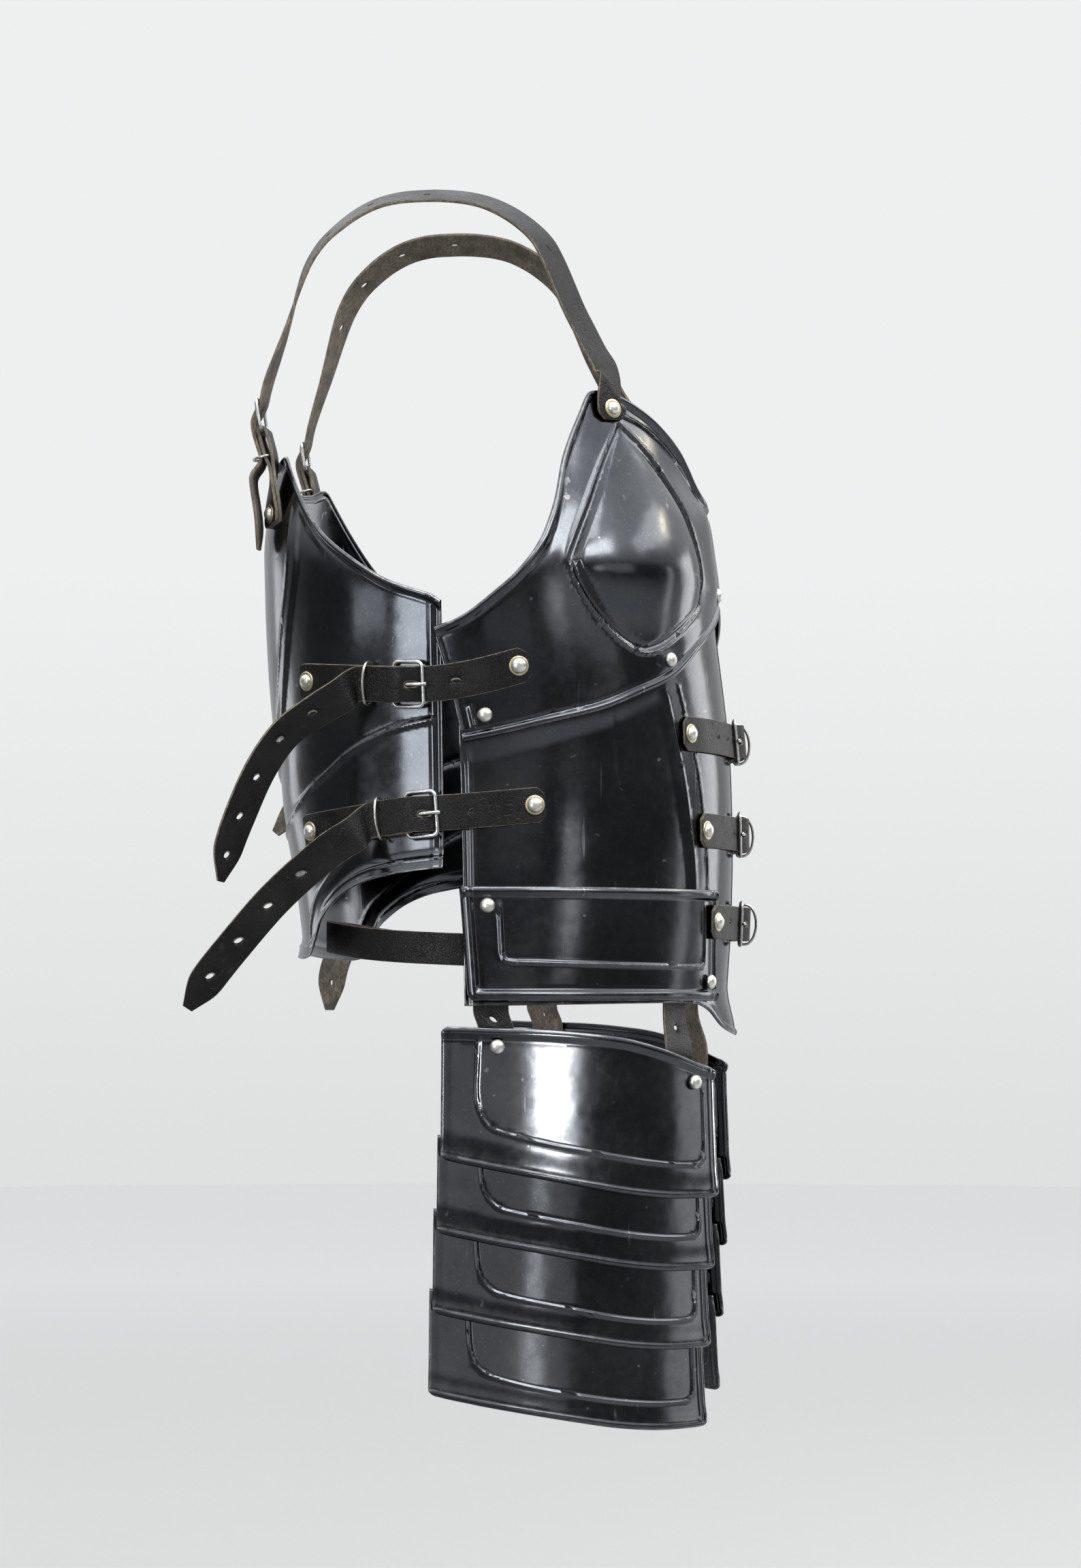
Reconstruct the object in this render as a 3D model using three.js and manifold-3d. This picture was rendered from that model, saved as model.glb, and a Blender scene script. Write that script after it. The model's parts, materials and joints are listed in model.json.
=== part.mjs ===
// Steel cuirass for a lady's figure: chest plate with cups over a belly plate, hip bands, back plate,
// two hanging thigh guards of four lames, and the leather straps and buckles that join them.
// Millimetres. The front faces -Y, the wearer's left is +X, up is +Z.
// Heights are first measured up from the hem of the lowest lame, then the whole is lowered so that
// the tops of the shoulder straps, where it hangs on the wearer, lie at the origin.
import * as THREE from 'three';
import Module from 'manifold-3d';

const wasm = await Module();
wasm.setup();

const SHEET = 1.2;
const LEATHER = 2.2;
const CLEAR = 0.3;
const NEST = 1.0;

const STRAP_TOP = 807;
const TRUNK_LOW = 250;
const TRUNK_RISE = 424;
const HALF_WIDTH = 167;
const FRONT_REACH = 153.4;
const BACK_REACH = 153;
const SIDE_LINE = 13;
const FRONT_ROUND = 2.0;
const BACK_ROUND = 2.35;

const CUP_DEPTH = 11;
const RIDGE_LIFT = 4;
const RIDGE_TURN = 10;
const PANEL_LIFT = 3;
const ROLL_LIFT = 2.6;
const BEAD_LIFT = 1.8;

const STRAP_WIDE = 22;
const RIVET_RADIUS = 5;
const RIVET_RISE = 3;
const WIRE = 2.4;
const FRAME_LONG = 19;
const FRAME_WIDE = 30;
const RING_WIDE = 28;

const OUTER_LIFT = SHEET + NEST;
const RIGHT = 1;
const LEFT = -1;

const STEEL = new THREE.MeshStandardMaterial({ color: 0x17191c, roughness: 0.22, metalness: 0.95 });
const HIDE = new THREE.MeshStandardMaterial({ color: 0x15130f, roughness: 0.55, metalness: 0 });
const NICKEL = new THREE.MeshStandardMaterial({ color: 0x9a9a94, roughness: 0.32, metalness: 1 });

// Shares of the trunk: up of TRUNK_RISE, half of HALF_WIDTH, front and back of their reaches.
const TRUNK = [
  { up: 0.0, half: 1.036, front: 0.971, back: 0.771 },
  { up: 0.106, half: 1.012, front: 0.975, back: 0.797 },
  { up: 0.179, half: 0.994, front: 0.988, back: 0.824 },
  { up: 0.264, half: 0.97, front: 0.997, back: 0.856 },
  { up: 0.328, half: 0.958, front: 1.0, back: 0.889 },
  { up: 0.389, half: 0.952, front: 0.997, back: 0.922 },
  { up: 0.453, half: 0.958, front: 0.991, back: 0.941 },
  { up: 0.526, half: 0.97, front: 0.974, back: 0.964 },
  { up: 0.623, half: 0.994, front: 0.941, back: 0.984 },
  { up: 0.698, half: 1.0, front: 0.919, back: 0.993 },
  { up: 0.748, half: 0.988, front: 0.909, back: 0.997 },
  { up: 0.785, half: 0.958, front: 0.896, back: 1.0 },
  { up: 0.825, half: 0.916, front: 0.88, back: 0.993 },
  { up: 0.875, half: 0.856, front: 0.844, back: 0.974 },
  { up: 0.92, half: 0.808, front: 0.815, back: 0.948 },
  { up: 1.0, half: 0.725, front: 0.769, back: 0.895 },
];

// Edges of the plates: turn in degrees round the trunk from the centre of the front, up as above.
const CHEST_TOP = [
  { turn: 0, up: 0.856 },
  { turn: 8, up: 0.87 },
  { turn: 14.5, up: 0.909 },
  { turn: 18.7, up: 0.931 },
  { turn: 28.3, up: 0.963 },
  { turn: 34.7, up: 0.98 },
  { turn: 44.6, up: 0.998 },
  { turn: 53.3, up: 0.999 },
  { turn: 56.7, up: 0.97 },
  { turn: 62.7, up: 0.896 },
  { turn: 66.2, up: 0.818 },
  { turn: 69.4, up: 0.766 },
  { turn: 74.6, up: 0.721 },
  { turn: 80.7, up: 0.686 },
  { turn: 86.3, up: 0.658 },
  { turn: 92.7, up: 0.637 },
];
const CHEST_HEM = [
  { turn: 0, up: 0.695 },
  { turn: 10, up: 0.664 },
  { turn: 23, up: 0.622 },
  { turn: 35, up: 0.576 },
  { turn: 46.5, up: 0.546 },
  { turn: 56.6, up: 0.521 },
  { turn: 68.2, up: 0.501 },
  { turn: 78.9, up: 0.483 },
  { turn: 87.4, up: 0.471 },
];
const BELLY_HEM = [
  { turn: 0, up: 0.042 },
  { turn: 6, up: 0.046 },
  { turn: 12.8, up: 0.056 },
  { turn: 19.6, up: 0.08 },
  { turn: 26, up: 0.091 },
  { turn: 40, up: 0.093 },
  { turn: 86.8, up: 0.09 },
];
const BACK_TOP = [
  { turn: 91.2, up: 0.676 },
  { turn: 93.2, up: 0.686 },
  { turn: 103.1, up: 0.709 },
  { turn: 112.1, up: 0.741 },
  { turn: 121.5, up: 0.78 },
  { turn: 128.4, up: 0.818 },
  { turn: 135.4, up: 0.859 },
  { turn: 143, up: 0.899 },
  { turn: 148.5, up: 0.919 },
  { turn: 156, up: 0.908 },
  { turn: 168, up: 0.902 },
  { turn: 180, up: 0.9 },
];
const BACK_HEM = [
  { turn: 91.2, up: 0.288 },
  { turn: 98, up: 0.284 },
  { turn: 106.1, up: 0.277 },
  { turn: 113.6, up: 0.268 },
  { turn: 121.5, up: 0.252 },
  { turn: 128.5, up: 0.231 },
  { turn: 133.8, up: 0.211 },
  { turn: 137.5, up: 0.187 },
  { turn: 143, up: 0.163 },
  { turn: 160, up: 0.162 },
  { turn: 180, up: 0.168 },
];

// Teardrop outline of a cup: inner and outer turns at each height.
const CUP = [
  { up: 0.609, inner: 43, outer: 45 },
  { up: 0.632, inner: 33.5, outer: 52 },
  { up: 0.66, inner: 26, outer: 57.2 },
  { up: 0.7, inner: 20.2, outer: 61.2 },
  { up: 0.736, inner: 19, outer: 62.8 },
  { up: 0.785, inner: 20.5, outer: 60 },
  { up: 0.85, inner: 25.6, outer: 54.8 },
  { up: 0.9, inner: 32.5, outer: 50.5 },
  { up: 0.955, inner: 44, outer: 46 },
];

const rise = (up) => TRUNK_LOW + up * TRUNK_RISE;
const share = (height) => (height - TRUNK_LOW) / TRUNK_RISE;
const radians = THREE.MathUtils.degToRad;

// Smooth curve through the rows of a table, straight beyond its ends.
function smooth(rows, from, to, at) {
  const last = rows.length - 1;
  let i = rows.findIndex((row) => row[from] > at) - 1;
  if (i === -2) i = last - 1;
  i = Math.max(0, Math.min(last - 1, i));
  const slope = (j) => {
    const a = rows[Math.max(0, j - 1)];
    const b = rows[Math.min(last, j + 1)];
    return (b[to] - a[to]) / (b[from] - a[from]);
  };
  const span = rows[i + 1][from] - rows[i][from];
  const t = (at - rows[i][from]) / span;
  if (t < 0) return rows[0][to] + (at - rows[0][from]) * slope(0);
  if (t > 1) return rows[last][to] + (at - rows[last][from]) * slope(last);
  const a = rows[i][to];
  const b = rows[i + 1][to];
  const c = slope(i) * span;
  const d = slope(i + 1) * span;
  return (2 * t ** 3 - 3 * t ** 2 + 1) * a + (t ** 3 - 2 * t ** 2 + t) * c
    + (3 * t ** 2 - 2 * t ** 3) * b + (t ** 3 - t ** 2) * d;
}

const ramp = (from, to, at) => THREE.MathUtils.smoothstep(at, from, to);
const hump = (distance, wide) => Math.exp(-((distance / wide) ** 2));

function trunkSkin(turn, height) {
  const up = share(height);
  const half = smooth(TRUNK, 'up', 'half', up) * HALF_WIDTH;
  const front = smooth(TRUNK, 'up', 'front', up) * FRONT_REACH + SIDE_LINE;
  const back = smooth(TRUNK, 'up', 'back', up) * BACK_REACH - SIDE_LINE;
  const s = Math.sin(radians(turn));
  const c = Math.cos(radians(turn));
  const round = c >= 0 ? FRONT_ROUND : BACK_ROUND;
  const deep = c >= 0 ? front : back;
  const x = -half * Math.sign(s) * Math.abs(s) ** (2 / round);
  const y = SIDE_LINE - deep * Math.sign(c) * Math.abs(c) ** (2 / round);
  return new THREE.Vector3(x, y, height);
}

function normalOf(skin, a, b) {
  const du = skin(a + 0.5, b).sub(skin(a - 0.5, b));
  const dv = skin(a, b + 0.5).sub(skin(a, b - 0.5));
  return dv.cross(du).normalize();
}

function onSkin(skin, a, b, lift) {
  return skin(a, b).addScaledVector(normalOf(skin, a, b), lift);
}

const onTrunk = (turn, height, lift) => onSkin(trunkSkin, turn, height, lift);

function body(points, triangles) {
  const vertProperties = new Float32Array(points.flatMap((p) => [p.x, p.y, p.z]));
  const triVerts = new Uint32Array(triangles.flat());
  const solid = new wasm.Manifold(new wasm.Mesh({ numProp: 3, vertProperties, triVerts }));
  return solid.volume() < 0 ? turned(points, triangles) : solid;
}

function turned(points, triangles) {
  return body(points, triangles.map(([a, b, c]) => [a, c, b]));
}

const mirrored = (solid) => solid.mirror([1, 0, 0]);
const sided = (solid, side) => (side === RIGHT ? solid : mirrored(solid));

// A sheet bent over a skin: grid of outer points and of inner points one thickness below them.
function sheet(skin, columns, rows, place) {
  const points = [];
  for (const depth of [0, SHEET]) {
    for (const column of columns) {
      for (const row of rows) {
        const { turn, height, lift } = place(column, row);
        points.push(onSkin(skin, turn, height, lift - depth));
      }
    }
  }
  const high = rows.length;
  const layer = columns.length * high;
  const triangles = [];
  const quad = (a, b, c, d) => triangles.push([a, b, c], [a, c, d]);
  for (let i = 0; i + 1 < columns.length; i += 1) {
    for (let j = 0; j + 1 < high; j += 1) {
      const a = i * high + j;
      quad(a, a + high, a + high + 1, a + 1);
      quad(layer + a, layer + a + 1, layer + a + high + 1, layer + a + high);
    }
    const low = i * high;
    const top = low + high - 1;
    quad(low, layer + low, layer + low + high, low + high);
    quad(top, top + high, layer + top + high, layer + top);
  }
  for (let j = 0; j + 1 < high; j += 1) {
    const end = layer - high + j;
    quad(j, j + 1, layer + j + 1, layer + j);
    quad(end, layer + end, layer + end + 1, end + 1);
  }
  return body(points, triangles);
}

// A band of leather along a line of points; each point has its own direction across and width.
function ribbon(line, thick) {
  const points = [];
  const last = line.length - 1;
  line.forEach(({ at, across, wide }, i) => {
    const before = line[Math.max(0, i - 1)].at;
    const after = line[Math.min(last, i + 1)].at;
    const into = at.clone().sub(before).normalize();
    const out = after.clone().sub(at).normalize();
    if (i === 0) into.copy(out);
    if (i === last) out.copy(into);
    const along = into.clone().add(out).normalize();
    const side = across.clone().addScaledVector(along, -across.dot(along)).normalize();
    const face = side.clone().cross(along).normalize();
    const miter = 1 / Math.max(0.6, along.dot(out));
    for (const [v, w] of [[-1, -1], [1, -1], [1, 1], [-1, 1]]) {
      points.push(at.clone()
        .addScaledVector(side, v * wide / 2)
        .addScaledVector(face, w * miter * thick / 2));
    }
  });
  const triangles = [[0, 1, 2], [0, 2, 3]];
  for (let i = 0; i < last; i += 1) {
    for (let k = 0; k < 4; k += 1) {
      const a = i * 4 + k;
      const b = i * 4 + ((k + 1) % 4);
      triangles.push([a, a + 4, b + 4], [a, b + 4, b]);
    }
  }
  const e = last * 4;
  triangles.push([e, e + 2, e + 1], [e, e + 3, e + 2]);
  return body(points, triangles);
}

// A closed loop of wire of four-cornered section.
function hoop(loop, normal, wire) {
  const count = loop.length;
  const points = [];
  loop.forEach((at, i) => {
    const into = at.clone().sub(loop[(i + count - 1) % count]).normalize();
    const out = loop[(i + 1) % count].clone().sub(at).normalize();
    const along = into.clone().add(out).normalize();
    const side = normal.clone().cross(along).normalize();
    const miter = 1 / Math.max(0.6, along.dot(out));
    for (const [v, w] of [[-1, 0], [0, -1], [1, 0], [0, 1]]) {
      points.push(at.clone()
        .addScaledVector(side, v * miter * wire / 2)
        .addScaledVector(normal, w * wire / 2));
    }
  });
  const triangles = [];
  for (let i = 0; i < count; i += 1) {
    for (let k = 0; k < 4; k += 1) {
      const a = i * 4 + k;
      const b = i * 4 + ((k + 1) % 4);
      const c = ((i + 1) % count) * 4;
      triangles.push([a, c + k, c + ((k + 1) % 4)], [a, c + ((k + 1) % 4), b]);
    }
  }
  return body(points, triangles);
}

// A domed rivet head with its shank going in by sink.
function rivet(at, normal, sink, radius = RIVET_RADIUS, sides = 6) {
  const rings = [
    { reach: 0.35, out: -sink },
    { reach: 1, out: -SHEET / 2 },
    { reach: 1, out: 0.25 * RIVET_RISE },
    { reach: 0.62, out: 0.85 * RIVET_RISE },
  ];
  const u = new THREE.Vector3(0, 0, 1).addScaledVector(normal, -normal.z).normalize();
  const v = normal.clone().cross(u);
  const points = rings.flatMap(({ reach, out }) => Array.from({ length: sides }, (_, k) => {
    const angle = 2 * Math.PI * (k + 0.5) / sides;
    return at.clone().addScaledVector(normal, out)
      .addScaledVector(u, reach * radius * Math.cos(angle))
      .addScaledVector(v, reach * radius * Math.sin(angle));
  }));
  const foot = points.push(at.clone().addScaledVector(normal, -sink)) - 1;
  const tip = points.push(at.clone().addScaledVector(normal, RIVET_RISE)) - 1;
  const triangles = [];
  for (let k = 0; k < sides; k += 1) {
    const n = (k + 1) % sides;
    triangles.push([foot, n, k], [tip, (rings.length - 1) * sides + k, (rings.length - 1) * sides + n]);
    for (let r = 0; r + 1 < rings.length; r += 1) {
      const a = r * sides;
      triangles.push([a + k, a + n, a + sides + n], [a + k, a + sides + n, a + sides + k]);
    }
  }
  return body(points, triangles);
}

function trunkRivet(turn, height, lift, sink) {
  return rivet(onTrunk(turn, height, lift), normalOf(trunkSkin, turn, height), sink);
}

const joined = (solids) => wasm.Manifold.union(solids);

const root = new THREE.Group();

function add(name, solid, material) {
  const mesh = solid.getMesh();
  const geometry = new THREE.BufferGeometry();
  const step = mesh.numProp;
  const spots = new Float32Array(mesh.numVert * 3);
  for (let i = 0; i < mesh.numVert; i += 1) {
    for (let k = 0; k < 3; k += 1) spots[i * 3 + k] = mesh.vertProperties[i * step + k];
  }
  geometry.setAttribute('position', new THREE.BufferAttribute(spots, 3));
  geometry.setIndex(Array.from(mesh.triVerts));
  geometry.computeVertexNormals();
  const node = new THREE.Mesh(geometry, material);
  node.name = name;
  root.add(node);
}

// Chest plate
const bothSides = (list) => [...list.slice(1).reverse().map((v) => -v), ...list];
const CHEST_SIDE = { hem: 87.4, top: 92.7 };
const CHEST_COLUMNS = bothSides([
  0, 0.06, 0.12, 0.19, 0.26, 0.35, 0.44, 0.53, 0.61, 0.68, 0.74, 0.83, 0.92, 0.965, 1,
]);
const ROLL_BAND = 9;
const BEAD_BAND = 9;

function cupLift(turn, up) {
  const ends = CUP[CUP.length - 1];
  if (up <= CUP[0].up || up >= ends.up) return 0;
  const inner = smooth(CUP, 'up', 'inner', up);
  const outer = smooth(CUP, 'up', 'outer', up);
  const across = (2 * turn - inner - outer) / Math.max(1, outer - inner);
  if (Math.abs(across) >= 1) return 0;
  const along = ramp(0, 0.13, up - CUP[0].up) * ramp(0, 0.24, ends.up - up);
  return CUP_DEPTH * along * (1 - across ** 2) ** 0.6;
}

function chestPlace(column, row) {
  const side = Math.abs(column);
  const topTurn = side * CHEST_SIDE.top;
  const hemTurn = side * CHEST_SIDE.hem;
  const top = rise(smooth(CHEST_TOP, 'turn', 'up', topTurn));
  const hem = rise(smooth(CHEST_HEM, 'turn', 'up', hemTurn));
  const height = row.from === 'top' ? top - row.mm : hem + (row.share ?? 0) * (top - hem) + (row.mm ?? 0);
  const t = (height - hem) / (top - hem);
  const turn = hemTurn + (topTurn - hemTurn) * t;
  const ridge = RIDGE_LIFT * hump(turn - RIDGE_TURN, 6) * ramp(0.69, 0.72, share(height))
    * ramp(0, 0.05, 0.885 - share(height));
  const lift = OUTER_LIFT + row.lift + cupLift(turn, share(height)) + ridge;
  return { turn: Math.sign(column) * turn, height, lift };
}
const CHEST_ROWS = [
  { mm: 0, lift: 0 },
  { mm: 3, lift: BEAD_LIFT },
  { mm: BEAD_BAND, lift: 0 },
  ...[0.25, 0.41, 0.57, 0.74].map((part) => ({ share: part, lift: 0 })),
  { from: 'top', mm: ROLL_BAND, lift: 0 },
  { from: 'top', mm: 3.5, lift: ROLL_LIFT },
  { from: 'top', mm: 0, lift: ROLL_LIFT * 0.8 },
];
const CHEST_RIVETS = [
  { turn: 0, up: 0.722 },
  { turn: 35.5, up: 0.602 },
  { turn: -35.5, up: 0.602 },
  { turn: 82.7, up: 0.511 },
  { turn: -82.7, up: 0.511 },
];
const chest = sheet(trunkSkin, CHEST_COLUMNS, CHEST_ROWS, chestPlace);
const chestRivets = CHEST_RIVETS.map(({ turn, up }) => (
  trunkRivet(turn, rise(up), OUTER_LIFT, OUTER_LIFT - CLEAR)));
add('chest_plate', joined([chest, ...chestRivets]), STEEL);

// Belly plate, tucked up under the chest plate
const BELLY_SIDE = { hem: 86.8, top: 88.6 };
const TUCK = 24;
const FLARE = 6;
const STEP = [
  { up: 0.0, turn: 29 },
  { up: 0.26, turn: 30 },
  { up: 0.43, turn: 34 },
  { up: 0.56, turn: 38.5 },
  { up: 0.7, turn: 43 },
];

function bellyPlace(column, row) {
  const side = Math.abs(column);
  const topTurn = side * BELLY_SIDE.top;
  const hemTurn = side * BELLY_SIDE.hem;
  const top = rise(smooth(CHEST_HEM, 'turn', 'up', topTurn)) + TUCK;
  const hem = rise(smooth(BELLY_HEM, 'turn', 'up', hemTurn));
  const height = hem + row * (top - hem);
  const turn = hemTurn + (topTurn - hemTurn) * row;
  const edge = smooth(STEP, 'up', 'turn', share(height));
  const sunk = -PANEL_LIFT * ramp(edge - 2, edge + 2, turn) * ramp(0, 30, height - rise(0.27));
  const flare = FLARE * hump(turn, 16) * (1 - ramp(0, 34, height - hem));
  const rim = BEAD_LIFT * 0.4 * ramp(0.96, 0.99, side);
  const under = 1 - ramp(-14, 0, height - (top - TUCK));
  return { turn: Math.sign(column) * turn, height, lift: flare + under * (sunk * 0.5 + rim) - CLEAR };
}
const BELLY_COLUMNS = bothSides([
  0, 0.08, 0.17, 0.26, 0.33, 0.39, 0.45, 0.55, 0.66, 0.78, 0.9, 1,
]);
const BELLY_ROWS = [0, 0.07, 0.15, 0.28, 0.42, 0.57, 0.74, 1];
add('belly_plate', sheet(trunkSkin, BELLY_COLUMNS, BELLY_ROWS, bellyPlace), STEEL);

// Hip bands riveted over the sides of the belly plate
const BAND_TOP = rise(0.2625);
const BAND_HEM = rise(0.096);
const BAND_FRONT = { hem: 18.6, top: 20.3 };
const BAND_BACK = { hem: 86, top: 88.2 };
const BAND_COLUMNS = [
  { part: 0, rim: 1 },
  { part: 0.03, rim: 1 },
  { part: 0.05, rim: 0 },
  { part: 0.11, rim: 0 },
  { part: 0.14, rim: 1 },
  { part: 0.31, rim: 1 },
  { part: 0.49, rim: 1 },
  { part: 0.67, rim: 1 },
  { part: 0.84, rim: 1 },
  { part: 0.87, rim: 0 },
  { part: 0.95, rim: 0 },
  { part: 0.97, rim: 1 },
  { part: 1, rim: 1 },
];
const BAND_ROWS = [
  { part: 0, rim: 0.4 },
  { part: 0.1, rim: 1 },
  { part: 0.2, rim: 0 },
  { part: 0.34, rim: 0 },
  { part: 0.4, rim: 1 },
  { part: 0.9, rim: 1 },
  { part: 1, rim: 0.6 },
];
const BAND_RIM = 1.6;
const BAND_RIVETS = [
  { turn: 82.2, up: 0.234 },
  { turn: 22.6, up: 0.125 },
];

function bandPlace(column, row) {
  const hemTurn = THREE.MathUtils.lerp(BAND_FRONT.hem, BAND_BACK.hem, column.part);
  const topTurn = THREE.MathUtils.lerp(BAND_FRONT.top, BAND_BACK.top, column.part);
  const turn = THREE.MathUtils.lerp(hemTurn, topTurn, row.part);
  const height = THREE.MathUtils.lerp(BAND_HEM, BAND_TOP, row.part);
  const panel = row.part > 0.3 && row.part < 0.9 ? column.rim * row.rim : row.rim;
  const lift = OUTER_LIFT + BAND_RIM * (row.part < 0.3 ? row.rim : panel);
  return { turn, height, lift: lift + FLARE * hump(turn, 16) * (1 - ramp(0, 34, height - BAND_HEM)) };
}
for (const side of [RIGHT, LEFT]) {
  const plate = sheet(trunkSkin, BAND_COLUMNS, BAND_ROWS, bandPlace);
  const pins = BAND_RIVETS.map(({ turn, up }) => (
    trunkRivet(turn, rise(up), OUTER_LIFT + BAND_RIM * 0.6, OUTER_LIFT + BAND_RIM * 0.6 - CLEAR)));
  add(`hip_band_${side === RIGHT ? 'right' : 'left'}`, sided(joined([plate, ...pins]), side), STEEL);
}

// Back plate
const BACK_START = 91.2;
const BACK_COLUMNS = bothSides([
  0, 0.14, 0.28, 0.37, 0.43, 0.5, 0.58, 0.67, 0.76, 0.86, 0.96, 1,
]);
const BACK_FLARE = 4;
function backPlace(column, row) {
  const turn = 180 - Math.abs(column) * (180 - BACK_START);
  const top = rise(smooth(BACK_TOP, 'turn', 'up', turn));
  const hem = rise(smooth(BACK_HEM, 'turn', 'up', turn));
  const height = row.from === 'top' ? top - row.mm : hem + (row.share ?? 0) * (top - hem) + (row.mm ?? 0);
  const rim = 0.8 * ramp(0.965, 0.985, Math.abs(column));
  return { turn: Math.sign(column || 1) * turn, height, lift: row.lift + rim };
}
const BACK_ROWS = [
  { mm: 0, lift: BACK_FLARE },
  { mm: 6, lift: BACK_FLARE * 0.5 },
  { mm: 14, lift: 0 },
  ...[0.25, 0.42, 0.6, 0.78].map((part) => ({ share: part, lift: 0 })),
  { from: 'top', mm: ROLL_BAND, lift: 0 },
  { from: 'top', mm: 3.5, lift: ROLL_LIFT },
  { from: 'top', mm: 0, lift: ROLL_LIFT * 0.8 },
];
add('back_plate', sheet(trunkSkin, BACK_COLUMNS, BACK_ROWS, backPlace), STEEL);

// Thigh guards: four lames bent to a circle about an axis beside the hip
const LAME_RADIUS = 187;
const LAME_AXIS = { x: 15, y: 8 };
const LAME_BACK = 93;
const LAME_FRONT = 35;
const LAME_SET_BACK = 2.5;
const LAME_PITCH = 48.5;
const LAME_FIRST_HEM = 194.4;
const LAME_LAP = 15;
const LAME_COLUMNS = [
  { part: 0, rim: 1, drop: 0, crown: 0 },
  { part: 0.03, rim: 1, drop: 0.04, crown: 0 },
  { part: 0.06, rim: 0, drop: 0.09, crown: 0 },
  { part: 0.13, rim: 0, drop: 0.19, crown: 0.02 },
  { part: 0.17, rim: 1, drop: 0.25, crown: 0.03 },
  { part: 0.32, rim: 1, drop: 0.45, crown: 0.06 },
  { part: 0.47, rim: 1, drop: 0.65, crown: 0.14 },
  { part: 0.62, rim: 1, drop: 0.84, crown: 0.27 },
  { part: 0.77, rim: 1, drop: 0.96, crown: 0.53 },
  { part: 0.91, rim: 1, drop: 1, crown: 0.84 },
  { part: 0.935, rim: 0, drop: 1, crown: 0.88 },
  { part: 0.97, rim: 0, drop: 1, crown: 0.96 },
  { part: 1, rim: 1, drop: 1, crown: 1 },
];
const LAME_DROP = 27;
const LAME_ROWS = [
  { part: 0, rim: 1, edge: true },
  { part: 0.1, rim: 0, edge: true },
  { part: 0.24, rim: 0, edge: true },
  { part: 0.29, rim: 1 },
  { part: 0.88, rim: 1 },
  { part: 1, rim: 0.4, edge: true },
];
const LAME_RIM = 1.5;
const LAME_FLARE = 2.6;

function lameSkin(set) {
  return (turn, height) => {
    const angle = radians(turn);
    return new THREE.Vector3(
      LAME_AXIS.x - LAME_RADIUS * Math.sin(angle),
      LAME_AXIS.y + set * LAME_SET_BACK - LAME_RADIUS * Math.cos(angle),
      height,
    );
  };
}

// Table of the lames: hem height at the back corner and height of the sheet there.
const LAMES = [
  { set: 0, hem: LAME_FIRST_HEM, tall: 81 },
  { set: 1, hem: LAME_FIRST_HEM - 0.93 * LAME_PITCH, tall: 0.93 * LAME_PITCH + LAME_LAP },
  { set: 2, hem: LAME_FIRST_HEM - 1.94 * LAME_PITCH, tall: 1.01 * LAME_PITCH + LAME_LAP },
  { set: 3, hem: LAME_FIRST_HEM - 2.97 * LAME_PITCH, tall: 1.03 * LAME_PITCH + LAME_LAP },
];

function lamePlace(lame) {
  return (column, row) => {
    const turn = THREE.MathUtils.lerp(LAME_BACK, LAME_FRONT, column.part);
    const hem = lame.hem - LAME_DROP * column.drop;
    const fall = lame.set === 0 ? column.crown : column.drop;
    const top = lame.hem + lame.tall - LAME_DROP * fall;
    const height = THREE.MathUtils.lerp(hem, top, row.part);
    const rim = row.edge ? row.rim : column.rim;
    const flare = LAME_FLARE * (1 - ramp(0, 1, row.part));
    return { turn, height, lift: -SHEET + flare + LAME_RIM * rim * (1 - ramp(0.8, 1, row.part)) };
  };
}

const LAME_RIVETS = [
  { turn: 82.5, height: 263 },
  { turn: 41, height: 240 },
];
for (const side of [RIGHT, LEFT]) {
  const hand = side === RIGHT ? 'right' : 'left';
  for (const lame of LAMES) {
    const skin = lameSkin(lame.set);
    let solid = sheet(skin, LAME_COLUMNS, LAME_ROWS, lamePlace(lame));
    if (lame.set === 0) {
      solid = joined([solid, ...LAME_RIVETS.map(({ turn, height }) => (
        rivet(onSkin(skin, turn, height, 0), normalOf(skin, turn, height), SHEET + CLEAR, 4.5, 6)))]);
    }
    add(`lame_${hand}_${lame.set + 1}`, sided(solid, side), STEEL);
  }
}

// Leathers that carry the lames, riveted inside them and inside the belly plate
const HANGERS = [
  { name: 'back', turn: 82.5, trunkTurn: 81, top: 0.25 },
  { name: 'front', turn: 43.5, trunkTurn: 33, top: 0.16 },
];
const HANGER_HEM = 0.083;
const FLAT_CLEAR = 0.8;

function lameShape(turn) {
  const part = (turn - LAME_BACK) / (LAME_FRONT - LAME_BACK);
  return {
    drop: smooth(LAME_COLUMNS, 'part', 'drop', part),
    crown: smooth(LAME_COLUMNS, 'part', 'crown', part),
  };
}

function hanger({ turn, trunkTurn, top }) {
  const across = new THREE.Vector3(-Math.cos(radians(turn)), Math.sin(radians(turn)), 0);
  const trunkAcross = normalOf(trunkSkin, trunkTurn, rise(top)).cross(new THREE.Vector3(0, 0, 1));
  const inside = -CLEAR * 2 - SHEET - LEATHER / 2 - FLAT_CLEAR;
  const line = [top, HANGER_HEM].map((up) => ({
    at: onTrunk(trunkTurn, rise(up), inside), across: trunkAcross, wide: STRAP_WIDE,
  }));
  const shape = lameShape(turn);
  for (const lame of LAMES) {
    const fall = lame.set === 0 ? shape.crown : shape.drop;
    const lameTop = lame.hem + lame.tall - LAME_DROP * fall;
    for (const down of lame.set === 0 ? [2, 30] : [-2, 10]) {
      const lift = -2 * SHEET - CLEAR - LEATHER / 2 - FLAT_CLEAR;
      line.push({ at: onSkin(lameSkin(lame.set), turn, lameTop - down, lift), across, wide: STRAP_WIDE });
    }
  }
  return ribbon(line, LEATHER);
}
for (const side of [RIGHT, LEFT]) {
  const hand = side === RIGHT ? 'right' : 'left';
  for (const row of HANGERS) add(`hanger_${hand}_${row.name}`, sided(hanger(row), side), HIDE);
}

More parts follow.
